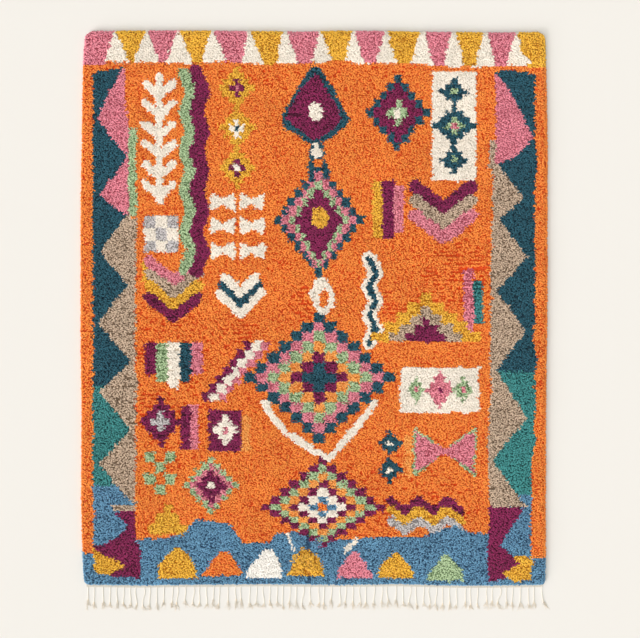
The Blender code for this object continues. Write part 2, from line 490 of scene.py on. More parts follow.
# Saw-teeth that stand out from each panel's inner edge
LEFT_SAW = (
    # yarn, down, reach from the middle
    ("pink", 0.152, 0.819),
    ("pink", 0.221, 0.849),
    ("pink", 0.255, 0.876),
    ("pink", 0.314, 0.900),
    ("pink", 0.372, 0.922),
    ("pink", 0.417, 0.893),
    ("pink", 0.466, 0.861),
    ("pink", 0.530, 0.802),
    ("pink", 0.543, 0.800),
    ("pink", 0.648, 0.880),
    ("pink", 0.700, 0.917),
    ("pink", 0.751, 0.861),
    ("pink", 0.788, 0.800),
    ("taupe", 0.796, 0.800),
    ("taupe", 0.941, 0.922),
    ("taupe", 1.086, 0.797),
    ("taupe", 1.253, 0.924),
    ("taupe", 1.415, 0.782),
    ("taupe", 1.545, 0.924),
    ("taupe", 1.705, 0.782),
    ("taupe", 1.850, 0.922),
    ("taupe", 2.020, 0.782),
)
RIGHT_SAW = (
    # yarn, down, reach from the middle
    ("pink", 0.184, 0.777),
    ("pink", 0.193, 0.792),
    ("pink", 0.287, 0.858),
    ("pink", 0.368, 0.895),
    ("pink", 0.456, 0.943),
    ("pink", 0.523, 0.878),
    ("pink", 0.572, 0.792),
    ("taupe", 0.577, 0.792),
    ("taupe", 0.712, 0.897),
    ("taupe", 0.806, 0.797),
    ("taupe", 0.968, 0.916),
    ("taupe", 1.113, 0.784),
    ("taupe", 1.285, 0.909),
    ("taupe", 1.452, 0.779),
    ("taupe", 1.656, 0.911),
    ("taupe", 1.838, 0.765),
    ("taupe", 2.032, 0.909),
    ("taupe", 2.037, 0.900),
)


def knot_side(chart, side, panel, top, saw, grounds):
    """One side panel: three grounds down its length, and teeth from its inner edge."""
    across, down = side * chart["across"], chart["down"]
    edges = np.array(panel)
    inner = np.interp(down, edges[:, 0], edges[:, 1])
    outer = np.interp(down, edges[:, 0], edges[:, 2])
    start = np.interp(across, [row[0] for row in top], [row[1] for row in top])
    here = (across > inner) & (across < outer) & (down > start) & (down < edges[-1, 0])
    for yarn, first in grounds:
        chart["yarn"][here & (down > first)] = YARN_NAMES.index(yarn)
    downs = [row[1] for row in saw]
    reach = np.interp(down, downs, [row[2] for row in saw])
    tooth = here & (across < reach) & (down > downs[0]) & (down < downs[-1])
    row = np.clip(np.searchsorted(downs, down) - 1, 0, len(saw) - 1)
    yarns = np.array([YARN_NAMES.index(each[0]) for each in saw])
    chart["yarn"][tooth] = yarns[row][tooth]


def knot_sides(chart):
    """Both side panels, with the small blocks beside them."""
    knot_side(chart, -1, LEFT_PANEL, LEFT_TOP, LEFT_SAW, LEFT_GROUNDS)
    knot_side(chart, 1, RIGHT_PANEL, RIGHT_TOP, RIGHT_SAW, RIGHT_GROUNDS)
    for yarn, left, right, top, bottom in SIDE_BLOCKS:
        bar(chart, yarn, left, right, top, bottom)


# The foot border's upper edge
FOOT_TOP = (
    # across, down
    (-PAST_SIDE, 2.235),
    (-0.93, 2.235),
    (-0.93, 2.19),
    (-0.66, 2.17),
    (-0.56, 2.15),
    (-0.50, 2.09),
    (-0.36, 2.11),
    (-0.30, 2.19),
    (-0.19, 2.188),
    (-0.16, 2.148),
    (-0.05, 2.142),
    (0.12, 2.180),
    (0.24, 2.167),
    (0.46, 2.165),
    (0.60, 2.12),
    (0.68, 2.15),
    (0.75, 2.15),
    (0.93, 2.20),
    (0.93, 2.258),
    (PAST_SIDE, 2.258),
)

# Plum blocks that end the side panels, with a mustard block in each
LEFT_PLUM = (
    # across, down
    (-0.854, 2.062),
    (-0.762, 2.056),
    (-0.762, 2.167),
    (-0.738, 2.231),
    (-0.743, 2.297),
    (-0.746, 2.341),
    (-0.880, 2.331),
    (-0.812, 2.290),
    (-0.944, 2.218),
    (-0.944, 2.206),
    (-0.890, 2.197),
    (-0.836, 2.157),
    (-0.797, 2.118),
)
LEFT_MUSTARD = (
    # across, down
    (-0.947, 2.215),
    (-0.810, 2.289),
    (-0.880, 2.331),
    (-0.923, 2.325),
    (-0.943, 2.302),
)
RIGHT_PLUM = (
    # across, down
    (0.750, 2.037),
    (0.900, 2.040),
    (0.797, 2.202),
    (0.882, 2.280),
    (0.803, 2.320),
    (0.828, 2.347),
    (0.744, 2.352),
)
RIGHT_MUSTARD = (
    # across, down
    (0.842, 2.246),
    (0.938, 2.252),
    (0.938, 2.270),
    (0.930, 2.320),
    (0.925, 2.355),
    (0.865, 2.357),
    (0.838, 2.349),
    (0.803, 2.320),
    (0.882, 2.280),
)


def knot_foot(chart):
    """The foot border's blue ground, and the panels' ends."""
    fill(chart, "blue", [*FOOT_TOP, (PAST_SIDE, PAST_FOOT), (-PAST_SIDE, PAST_FOOT)])
    fill(chart, "plum", LEFT_PLUM)
    fill(chart, "mustard", LEFT_MUSTARD)
    fill(chart, "plum", RIGHT_PLUM)
    fill(chart, "mustard", RIGHT_MUSTARD)


# Standing teeth of the foot border
TOOTH_FLARE = 0.006
FOOT_TEETH = (
    # yarn, left, right, apex_left, apex_right, apex_down, base_down, left_rise, right_rise
    ("mustard", -0.668, -0.502, -0.598, -0.568, 2.212, 2.341, 0.060, 0.056),
    ("orange", -0.479, -0.306, -0.395, -0.371, 2.226, 2.333, 0.010, 0.026),
    ("white", -0.290, -0.136, -0.203, -0.175, 2.220, 2.337, 0.030, 0.045),
    ("mustard", -0.117, 0.042, -0.052, -0.028, 2.214, 2.333, 0.012, 0.060),
    ("pink", 0.100, 0.252, 0.170, 0.188, 2.228, 2.339, 0.040, 0.018),
    ("mustard", 0.272, 0.424, 0.338, 0.361, 2.236, 2.342, 0.046, 0.050),
    ("sage", 0.474, 0.641, 0.556, 0.573, 2.240, 2.353, 0.012, 0.044),
)


def knot_foot_teeth(chart):
    """The standing teeth of the foot border, nearly upright at their feet."""
    for yarn, left, right, apex_left, apex_right, high, base, left_rise, right_rise in FOOT_TEETH:
        points = [
            (apex_left, high),
            (apex_right, high),
            (right - TOOTH_FLARE, base - right_rise),
            (right, base),
            (left, base),
            (left + TOOTH_FLARE, base - left_rise),
        ]
        fill(chart, yarn, points)


# The chain down the middle: a kite on its stem, two lozenges with a link between, and more
KITE = (
    # across, down
    (-0.006, 0.152),
    (0.026, 0.152),
    (0.155, 0.374),
    (0.145, 0.397),
    (0.096, 0.440),
    (0.050, 0.470),
    (0.011, 0.478),
    (-0.035, 0.470),
    (-0.126, 0.414),
    (-0.140, 0.365),
    (-0.110, 0.322),
    (-0.062, 0.226),
)
KITE_HEART = (
    # across, down
    (0.010, 0.181),
    (0.054, 0.240),
    (0.112, 0.338),
    (0.122, 0.376),
    (0.083, 0.420),
    (0.037, 0.453),
    (0.005, 0.466),
    (-0.084, 0.410),
    (-0.120, 0.374),
    (-0.094, 0.312),
    (-0.061, 0.260),
    (-0.028, 0.214),
)
STEM = (
    # across, down
    (-0.012, 0.470),
    (0.032, 0.470),
    (0.050, 0.518),
    (0.046, 0.545),
    (0.060, 0.561),
    (0.060, 0.600),
    (-0.026, 0.600),
    (-0.020, 0.545),
    (-0.027, 0.516),
)
LINK = (
    # across, down
    (0.027, 1.050),
    (0.049, 1.050),
    (0.060, 1.078),
    (0.086, 1.111),
    (0.091, 1.140),
    (0.081, 1.175),
    (0.066, 1.200),
    (0.045, 1.217),
    (0.022, 1.208),
    (0.005, 1.190),
    (-0.022, 1.116),
    (0.003, 1.092),
    (-0.005, 1.068),
)
STEM_LINE = ("cream", 0.000, 0.022, 0.482, 0.520)  # yarn, left, right, top, bottom
STEM_HEART = ("orange", -0.003, 0.038, 0.548, 0.584)
LINK_FOOT = ("petrol", 0.016, 0.050, 1.205, 1.246)
LINK_EYE = (
    # across, down
    (0.042, 1.098),
    (0.066, 1.120),
    (0.060, 1.176),
    (0.042, 1.190),
    (0.022, 1.166),
    (0.024, 1.122),
)
OVALS = (
    # yarn, across, down, wide, tall
    ("cream", 0.010, 0.345, 0.056, 0.078),
    ("cream", 0.011, 0.522, 0.050, 0.042),
)
SMALL_LOZENGE = (0.0205, 0.808)  # across, down
SMALL_STEP = 0.0375
SMALL_HEART = (0.026, 0.798, 0.074, 0.088)  # across, down, wide, tall
DIAMONDS = (
    # yarn, half_wide, above, below
    ("petrol", 0.190, 0.246, 0.246),
    ("pink", 0.158, 0.212, 0.223),
    ("sage", 0.126, 0.174, 0.200),
    ("plum", 0.103, 0.142, 0.174),
)
GREAT_LOZENGE = (0.0235, 1.483)  # across, down
GREAT_CELL = (0.0494, 0.0434)  # wide, tall
GREAT_RINGS = ("petrol", "petrol", "plum", "light_orange", "sage", "pink", "petrol")
LAST_LOZENGE = (0.038, 2.041)  # across, down
LAST_CELL = (0.0405, 0.0334, 0.0258)  # wide, tall above, tall below
LAST_RINGS = ("orange", "blue", "cream", "plum", "light_orange", "sage", "plum")
CREAM_STROKES = (
    # across, down, low_across, low_down, width
    (-0.116, 2.150, -0.080, 2.226, 0.011),
    (0.182, 2.176, 0.137, 2.226, 0.018),
)
CREAM_V_WIDTH = 0.026
CREAM_V = (
    # across, down
    (-0.208, 1.588),
    (-0.188, 1.636),
    (-0.122, 1.715),
    (-0.037, 1.774),
    (0.067, 1.828),
    (0.199, 1.675),
    (0.266, 1.588),
)


def knot_column(chart):
    """The chain of lozenges down the middle, in the old stepped manner."""
    fill(chart, "petrol", STEM)
    fill(chart, "petrol", KITE)
    fill(chart, "plum", KITE_HEART)
    for yarn, across, down, wide, tall in OVALS:
        oval(chart, yarn, across, down, wide, tall)
    bar(chart, *STEM_LINE)
    stepped_diamonds(chart, *SMALL_LOZENGE, SMALL_STEP, DIAMONDS)
    bar(chart, *STEM_HEART)
    oval(chart, "mustard", *SMALL_HEART)
    stepped_lozenge(chart, *GREAT_LOZENGE, GREAT_CELL, GREAT_RINGS)
    bar(chart, *LINK_FOOT)
    fill(chart, "cream", LINK)
    fill(chart, "orange", LINK_EYE)


def knot_last_lozenge(chart):
    """The lowest lozenge, whose point stands in the foot border, and what goes with it."""
    stepped_lozenge(chart, *LAST_LOZENGE, LAST_CELL, LAST_RINGS)
    band(chart, "cream", CREAM_V, CREAM_V_WIDTH)
    for across, down, low_across, low_down, width in CREAM_STROKES:
        band(chart, "cream", ((across, down), (low_across, low_down)), width)


# Small old motifs on both sides of the chain
BARS = (
    # yarn, left, right, top, bottom
    ("mustard", -0.735, -0.700, 0.985, 1.075),
    ("plum", -0.725, -0.675, 1.335, 1.470),
    ("sage", -0.675, -0.625, 1.335, 1.500),
    ("cream", -0.625, -0.575, 1.335, 1.530),
    ("petrol", -0.575, -0.525, 1.335, 1.500),
    ("pink", -0.525, -0.475, 1.335, 1.470),
    ("plum", -0.570, -0.530, 1.600, 1.790),
    ("pink", -0.530, -0.494, 1.600, 1.790),
    ("plum", -0.450, -0.310, 1.620, 1.800),
    ("cream", 0.508, 0.694, 0.174, 0.640),
    ("light_orange", 0.385, 0.420, 1.730, 1.915),
    ("light_orange", -0.310, -0.272, 1.645, 1.800),
    ("mustard", 0.252, 0.292, 0.640, 0.890),
    ("plum", 0.292, 0.342, 0.640, 0.890),
    ("pink", 0.342, 0.386, 0.660, 0.865),
    ("pink", 0.640, 0.685, 1.020, 1.300),
    ("jade", 0.685, 0.725, 1.070, 1.250),
    ("cream", 0.372, 0.706, 1.440, 1.632),
)
LOZENGES = (
    # across, down, cell_wide, cell_tall, rings from the core
    (-0.330, 0.245, 0.022, 0.026, ("pink", "plum", "mustard", "mustard")),
    (-0.330, 0.415, 0.022, 0.026, ("petrol", "cream", "mustard", "mustard")),
    (-0.330, 0.585, 0.022, 0.026, ("cream", "plum", "mustard", "mustard")),
    (-0.380, 1.710, 0.020, 0.026, ("pink", "cream", "cream")),
    (-0.440, 1.945, 0.026, 0.028, ("cream", "plum", "plum", "pink", "sage")),
    (0.360, 0.350, 0.030, 0.036, ("cream", "sage", "plum", "plum", "petrol")),
    (0.601, 0.260, 0.026, 0.024, ("sage", "petrol", "petrol")),
    (0.601, 0.405, 0.026, 0.024, ("pink", "sage", "petrol", "petrol")),
    (0.601, 0.550, 0.026, 0.024, ("sage", "petrol", "petrol")),
    (-0.655, 1.672, 0.026, 0.030, ("grey", "grey", "plum", "plum")),
    (0.440, 1.535, 0.017, 0.023, ("pink", "sage", "sage")),
    (0.539, 1.535, 0.017, 0.023, ("plum", "pink", "pink", "pink")),
    (0.638, 1.535, 0.017, 0.023, ("pink", "sage", "sage")),
    (0.325, 1.765, 0.022, 0.021, ("cream", "petrol", "petrol")),
    (0.325, 1.880, 0.022, 0.021, ("cream", "petrol", "petrol")),
)
HALF_WAIST = 0.010
BOW_TIES = (
    # yarn, across, down, wide, tall
    ("cream", -0.390, 0.730, 0.104, 0.078),
    ("cream", -0.265, 0.730, 0.104, 0.078),
    ("cream", -0.390, 0.835, 0.104, 0.078),
    ("cream", -0.265, 0.835, 0.104, 0.078),
    ("cream", -0.390, 0.940, 0.104, 0.078),
    ("cream", -0.265, 0.940, 0.104, 0.078),
    ("sage", 0.560, 1.800, 0.270, 0.220),
    ("pink", 0.560, 1.800, 0.250, 0.172),
)
CHEVRONS = (
    # yarn, across, point_down, wide, deep, width
    ("pink", -0.600, 1.070, 0.210, 0.085, 0.046),
    ("taupe", -0.600, 1.122, 0.210, 0.085, 0.046),
    ("mustard", -0.600, 1.174, 0.210, 0.085, 0.046),
    ("plum", -0.600, 1.226, 0.210, 0.085, 0.046),
    ("cream", -0.315, 1.205, 0.170, 0.085, 0.046),
    ("petrol", -0.315, 1.163, 0.150, 0.078, 0.038),
    ("cream", -0.315, 1.122, 0.130, 0.070, 0.036),
    ("plum", 0.555, 0.760, 0.240, 0.095, 0.056),
    ("taupe", 0.555, 0.822, 0.240, 0.095, 0.056),
    ("pink", 0.555, 0.884, 0.240, 0.095, 0.056),
)
# Zigzags step to and fro across the rug as they run down it, or the other way about
ZIGZAGS = (
    # yarn, start_across, start_down, step_across, step_down, turns, width
    ("plum", -0.505, 0.175, 0.030, 0.085, 10, 0.062),
    ("sage", -0.558, 0.175, 0.030, 0.085, 10, 0.042),
    ("cream", 0.236, 0.975, 0.030, 0.060, 6, 0.058),
    ("petrol", 0.236, 0.975, 0.030, 0.060, 6, 0.026),
)
LEVEL_ZIGZAGS = (
    # yarn, start_across, start_down, step_across, step_down, turns, width
    ("plum", 0.330, 2.010, 0.060, 0.046, 5, 0.036),
    ("mustard", 0.330, 2.052, 0.060, 0.046, 5, 0.036),
    ("grey", 0.330, 2.094, 0.060, 0.046, 5, 0.036),
)
BOARDS = (
    # yarns in turn, left, top, cell_wide, cell_tall, columns, rows
    (("grey", "cream"), -0.725, 0.790, 0.048, 0.052, 3, 3),
    (("sage", "orange"), -0.725, 1.800, 0.044, 0.046, 3, 4),
)
HILLS = (
    # yarn, across, base_down, step_wide, step_tall, steps
    ("mustard", -0.625, 2.155, 0.034, 0.044, 3),
    ("mustard", 0.480, 1.330, 0.052, 0.042, 5),
    ("taupe", 0.480, 1.330, 0.044, 0.038, 4),
    ("plum", 0.480, 1.330, 0.034, 0.034, 3),
)
BRANCH = ("cream", -0.676, -0.648, 0.180, 0.735)  # yarn, left, right, top, bottom
ARMS = (6, 0.275, 0.086, 0.120, 0.050, 0.032)  # pairs, first_down, pitch, wide, deep, width
STAIR_YARNS = ("plum", "cream", "pink")
STAIR = (7, -0.480, 1.545, 0.030, 0.036, 0.040)  # steps, left, top, run, rise, tall
STAIR_STRIPE = 0.036


def knot_field(chart):
    """Small old motifs: lozenges, chevrons, bow-ties, boards, a branch and hills of steps."""
    for yarn, left, right, top, bottom in BARS:
        bar(chart, yarn, left, right, top, bottom)
    for across, down, wide, tall, rings in LOZENGES:
        stepped_lozenge(chart, across, down, (wide, tall), rings)
    for yarn, across, down, wide, tall in BOW_TIES:
        bow_tie(chart, yarn, across, down, wide, tall)
    for yarn, across, down, wide, deep, width in CHEVRONS:
        chevron(chart, yarn, across, down, wide, deep, width)
    for yarn, across, down, right, low, turns, width in ZIGZAGS:
        zigzag(chart, yarn, (across, down), (right, low), turns, width)
    knot_branch(chart)
    for yarns, left, top, wide, tall, columns, rows in BOARDS:
        board(chart, yarns, (left, top), (wide, tall), (columns, rows))
    knot_stair(chart)
    for yarn, across, base, wide, tall, count in HILLS:
        hill(chart, yarn, across, base, (wide, tall), count)
    for yarn, across, down, right, low, turns, width in LEVEL_ZIGZAGS:
        level_zigzag(chart, yarn, (across, down), (right, low), turns, width)


def knot_branch(chart):
    """A branch with paired arms."""
    bar(chart, *BRANCH)
    yarn, left, right = BRANCH[:3]
    pairs, first_down, pitch, wide, deep, width = ARMS
    for pair in range(pairs):
        chevron(chart, yarn, (left + right) / 2, first_down + pitch * pair, wide, deep, width)


def knot_stair(chart):
    """A slanting band of three stripes, made in steps."""
    count, left, top, run, rise, tall = STAIR
    for number in range(count):
        high = top - rise * number
        for place, yarn in enumerate(STAIR_YARNS):
            start = left + run * number + STAIR_STRIPE * place
            bar(chart, yarn, start, start + STAIR_STRIPE, high, high + tall)


def zigzag(chart, yarn, start, step, turns, width):
    """An upright zigzag."""
    points = []
    for turn in range(turns + 1):
        points.append((start[0] + step[0] * (turn % 2), start[1] + step[1] * turn))
    band(chart, yarn, points, width)


def level_zigzag(chart, yarn, start, step, turns, width):
    """A zigzag that runs across the rug."""
    points = []
    for turn in range(turns + 1):
        points.append((start[0] + step[0] * turn, start[1] + step[1] * (turn % 2)))
    band(chart, yarn, points, width)


def bow_tie(chart, yarn, across, down, wide, tall):
    """Two triangles side by side that meet at a narrow waist."""
    points = [
        (across - wide / 2, down - tall / 2),
        (across, down - HALF_WAIST),
        (across + wide / 2, down - tall / 2),
        (across + wide / 2, down + tall / 2),
        (across, down + HALF_WAIST),
        (across - wide / 2, down + tall / 2),
    ]
    fill(chart, yarn, points)


def board(chart, yarns, corner, cell, counts):
    """A small board of two yarns in turn."""
    for column in range(counts[0]):
        for row in range(counts[1]):
            left = corner[0] + cell[0] * column
            top = corner[1] + cell[1] * row
            yarn = yarns[(column + row) % 2]
            bar(chart, yarn, left, left + cell[0], top, top + cell[1])


def chevron(chart, yarn, across, down, wide, deep, width):
    """A pair of arms that meet in a point towards the foot."""
    points = [(across - wide / 2, down - deep), (across, down), (across + wide / 2, down - deep)]
    band(chart, yarn, points, width)


def hill(chart, yarn, across, base, step, count):
    """A hill of steps that stands on its base."""
    for number in range(count):
        half = step[0] * (count - number) - step[0] / 2
        low = base - step[1] * number
        bar(chart, yarn, across - half, across + half, low - step[1], low)


# ---------------------------------------------------------------- places


def read_table(table, place, column):
    """Reads a column of a table at places, straight between the table's rows."""
    rows = np.array(table)
    return np.interp(place, rows[:, 0], rows[:, column])


def read_edges(down, column):
    """Distance of a long edge from the middle line at places down the rug."""
    return read_table(EDGES, down, column)


def head_line(x):
    """Y of the ground's head edge."""
    return SLAB_HEAD + read_table(HEAD_EDGE, x - MIDDLE, 1)


def foot_line(x):
    """Y of the ground's foot edge."""
    return SLAB_HEAD - SLAB_LENGTH - read_table(FOOT_EDGE, x - MIDDLE, 1)


def lumps(x, y):
    """Height that the soft lumps add."""
    rise = np.zeros(np.shape(x))
    for height, across, along, start in LUMPS:
        rise += height * np.sin(2.0 * (across * x + along * y) + start)
    return rise


def on_slab(share_across, share_down):
    """Places on the ground from shares of its width and length, with round corners."""
    down = share_down * SLAB_LENGTH
    left, right = read_edges(down, 1), read_edges(down, 2)
    x = MIDDLE - left + share_across * (left + right)
    head, foot = head_line(x), foot_line(x)
    y = head - share_down * (head - foot)
    radius = np.where(share_down < 0.5, HEAD_CORNER, FOOT_CORNER)
    side = np.where(share_across < 0.5, -1.0, 1.0)
    end = np.where(share_down < 0.5, 1.0, -1.0)
    centre_x = MIDDLE + side * (np.where(side < 0, left, right) - radius)
    centre_y = np.where(end > 0, head, foot) - end * radius
    out_x, out_y = (x - centre_x) * side, (y - centre_y) * end
    corner = (out_x > 0) & (out_y > 0)
    long = np.hypot(out_x, out_y) + 1e-9
    shrink = np.where(corner, np.maximum(out_x, out_y) / long, 1.0)
    return (
        np.where(corner, centre_x + (x - centre_x) * shrink, x),
        np.where(corner, centre_y + (y - centre_y) * shrink, y),
    )


def drift(x, y, scale, seed):
    """A smooth, uneven value from about -1 to 1 that changes over a given distance."""
    total = np.zeros(np.shape(x))
    dice = np.random.default_rng(seed)
    for _ in range(6):
        turn = dice.uniform(0, 2 * math.pi)
        pitch = 2 * math.pi / scale * dice.uniform(0.6, 1.7)
        start = dice.uniform(0, 2 * math.pi)
        total += np.sin(pitch * (x * math.cos(turn) + y * math.sin(turn)) + start)
    return total / 3.0


# ---------------------------------------------------------------- meshes


def make_piece(name, places, corners, counts, material):
    """Makes a mesh piece from arrays of places, face corners and corners in each face."""
    mesh = bpy.data.meshes.new(name)
    mesh.vertices.add(len(places))
    mesh.vertices.foreach_set("co", np.asarray(places, np.float32).ravel())
    mesh.loops.add(len(corners))
    mesh.loops.foreach_set("vertex_index", np.asarray(corners, np.int32))
    mesh.polygons.add(len(counts))
    starts = np.concatenate([[0], np.cumsum(counts)[:-1]]).astype(np.int32)
    mesh.polygons.foreach_set("loop_start", starts)
    mesh.polygons.foreach_set("use_smooth", np.full(len(counts), True))
    mesh.update(calc_edges=True)
    mesh.materials.append(material)
    piece = bpy.data.objects.new(name, mesh)
    bpy.context.scene.collection.objects.link(piece)
    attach(piece, "root")
    return piece


def finish_piece(name, form, material):
    """Turns a bmesh form into an object that faces outward."""
    bmesh.ops.recalc_face_normals(form, faces=form.faces[:])
    mesh = bpy.data.meshes.new(name)
    form.to_mesh(mesh)
    form.free()
    mesh.materials.append(material)
    piece = bpy.data.objects.new(name, mesh)
    bpy.context.scene.collection.objects.link(piece)
    return piece


def laid_slab(counts, top_places, bottom):
    """A slab from a flat grid: its top takes the given places, its floor side is extruded."""
    form = bmesh.new()
    form.loops.layers.uv.new("share")
    bmesh.ops.create_grid(
        form, x_segments=counts[0], y_segments=counts[1], size=0.5, calc_uvs=True
    )
    flat = np.array([tuple(vert.co) for vert in form.verts])
    for vert, place in zip(form.verts, top_places(flat[:, 0] + 0.5, 0.5 - flat[:, 1])):
        vert.co = place
    made = bmesh.ops.extrude_face_region(form, geom=form.faces[:])
    for part in made["geom"]:
        if isinstance(part, bmesh.types.BMVert):
            part.co.z = bottom
    return form


def add_values(piece, name, values):
    """Gives every point of a piece a number that its material reads."""
    attribute = piece.data.attributes.new(name, "FLOAT", "POINT")
    attribute.data.foreach_set("value", np.asarray(values, np.float32))


def add_cells(piece, group, across, up, groups):
    """Gives each tuft or yarn its own cell of the bake map, its root low and its tip high."""
    side = math.ceil(math.sqrt(groups))
    u = (group % side + CELL_MARGIN + CELL_SPAN * across) / side
    v = (group // side + CELL_MARGIN + CELL_SPAN * up) / side
    layer = piece.data.uv_layers.new(name="OFBake")
    layer.data.foreach_set("uv", np.stack([u, v], 1).astype(np.float32).ravel())


def tuft_points(tufts):
    """Five points of each lock: its root, three round its widest part, and its cut end."""
    root = np.stack([tufts["x"], tufts["y"], tufts["low"]], 1)
    lean = np.stack([tufts["lean_x"], tufts["lean_y"]], 1)
    tip = np.concatenate([root[:, :2] + lean, tufts["top"][:, None]], 1)
    root[:, :2] -= tufts["back"][:, None] * lean
    axis = tip - root
    axis /= np.linalg.norm(axis, axis=1)[:, None]
    turn = tufts["turn"]
    along = np.stack([np.cos(turn), np.sin(turn), 0 * turn], 1)
    along -= (along * axis).sum(1)[:, None] * axis
    along /= np.linalg.norm(along, axis=1)[:, None]
    across = np.cross(axis, along)
    places = np.zeros((len(root), 5, 3))
    places[:, 0] = root
    places[:, 4] = tip
    middle = tip - tufts["bloom"][:, None] * axis
    for corner in range(3):
        angle = 2 * math.pi * corner / 3
        out = tufts["long"][:, None] * math.cos(angle) * along
        out = out + tufts["short"][:, None] * math.sin(angle) * across
        places[:, 1 + corner] = middle + tufts["uneven"][:, corner, None] * out
    places[:, :, 2] = np.maximum(places[:, :, 2], TUFT_BOTTOM)
    return places


def make_tufts(name, tufts, material):
    """Joins wool tufts into one piece, each a lock that blooms from its knot to a cut end."""
    number = len(tufts["x"])
    faces = [(0, 2, 1), (0, 3, 2), (0, 1, 3), (4, 1, 2), (4, 2, 3), (4, 3, 1)]
    corners = (np.arange(number) * 5)[:, None] + np.array(faces).ravel()
    places = tuft_points(tufts).reshape(-1, 3)
    piece = make_piece(name, places, corners.ravel(), np.full(number * 6, 3), material)
    add_values(piece, "tuft", np.repeat(tufts["tone"], 5))
    # Height up each lock from its root; the material paints the lock darker low down with it, as
    # painted shade deep in the pile
    add_values(piece, "height", np.tile([0, 0.8, 0.8, 0.8, 1.0], number))
    low_side = np.array([0.5, 1.0, 0.0])
    high_side = np.array([0.5, 0.0, 1.0])
    around = [low_side + side for side in range(3)] + [high_side + side for side in range(3)]
    around = np.concatenate(around) / 3
    up = np.array([0, 0.6, 0.6] * 3 + [1, 0.6, 0.6] * 3)
    group = np.repeat(np.arange(number), 18)
    add_cells(piece, group, np.tile(around, number), np.tile(up, number), number)
    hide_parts("pile")
    return piece


def sweep_yarns(name, paths, radii, sides, fray, material):
    """Sweeps round yarns along level paths, all of one count of rings, into one piece."""
    number, rings = radii.shape
    ahead = np.gradient(paths, axis=1)
    ahead /= np.linalg.norm(ahead, axis=2)[..., None]
    right = np.cross(ahead, [0.0, 0.0, 1.0])
    right /= np.linalg.norm(right, axis=2)[..., None]
    up = np.cross(right, ahead)
    turn = np.arange(sides) * 2 * math.pi / sides
    circle = (
        np.cos(turn)[:, None] * right[:, :, None] + np.sin(turn)[:, None] * up[:, :, None]
    )
    places = paths[:, :, None] + radii[:, :, None, None] * circle
    places[..., 2] = np.maximum(places[..., 2], YARN_BOTTOM)
    ring = np.arange(rings - 1)[:, None] * sides
    side = np.arange(sides)[None]
    after = (side + 1) % sides
    walls = np.stack(
        [ring + side, ring + sides + side, ring + sides + after, ring + after], -1
    ).reshape(-1, 4)
    caps = np.stack([np.arange(sides), (rings - 1) * sides + np.arange(sides)[::-1]])
    starts = (np.arange(number) * rings * sides)[:, None]
    corners = np.concatenate([starts + walls.ravel(), starts + caps.ravel()], 1).ravel()
    counts = np.tile([4] * len(walls) + [sides] * 2, number)
    piece = make_piece(name, places.reshape(-1, 3), corners, counts, material)
    add_values(piece, "fray", np.repeat(fray.ravel(), sides))
    map_twist(piece, paths, sides)
    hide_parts("fringe")
    return piece


def map_twist(piece, paths, sides):
    """Maps each yarn's faces by their place round it and the length of yarn before them."""
    number, rings = paths.shape[:2]
    step = np.linalg.norm(np.diff(paths, axis=1), axis=2)
    length = np.concatenate([np.zeros((number, 1)), np.cumsum(step, 1)], 1) / TWIST_UNIT
    begin = np.random.default_rng(5).uniform(0, 3, (number, 1))
    ring = np.arange(rings - 1)[:, None, None]
    side = np.arange(sides)[None]
    wall_across = np.stack([side, side, side + 1, side + 1], -1) / sides + 0 * ring
    wall_ring = np.concatenate([ring, ring + 1, ring + 1, ring], -1) + 0 * side[..., None]
    across = np.tile(wall_across.ravel(), (number, 1))
    along = length[:, wall_ring.ravel()]
    cap = np.zeros((number, 2 * sides))
    cap_along = np.concatenate([cap[:, :sides], cap[:, sides:] + length[:, -1:]], 1)
    twist = np.stack(
        [np.concatenate([across, cap], 1), np.concatenate([along, cap_along], 1)], -1
    )
    layer = piece.data.uv_layers.new(name="twist")
    turned = twist + np.stack([0 * begin, begin], -1)
    layer.data.foreach_set("uv", turned.astype(np.float32).ravel())
    end = length[:, -1:] + 0.01
    group = np.repeat(np.arange(number), twist.shape[1])
    add_cells(piece, group, twist[..., 0].ravel(), (twist[..., 1] / end).ravel(), number)


# ---------------------------------------------------------------- materials


def add_node(tree, kind, settings=None, links=None):
    """Adds a node, sets its fields and values, and links its inputs."""
    node = tree.nodes.new(kind)
    for key, value in (settings or {}).items():
        if isinstance(key, str) and hasattr(node, key):
            setattr(node, key, value)
        else:
            node.inputs[key].default_value = value
    for key, source in (links or {}).items():
        tree.links.new(source, node.inputs[key])
    return node


def new_material(name):
    """Makes an empty material and its shader."""
    material = bpy.data.materials.new(name)
    material.use_nodes = True
    tree = material.node_tree
    tree.nodes.clear()
    shader = add_node(tree, "ShaderNodeBsdfPrincipled", {"IOR": 1.45})
    add_node(tree, "ShaderNodeOutputMaterial", links={"Surface": shader.outputs[0]})
    return material, tree, shader


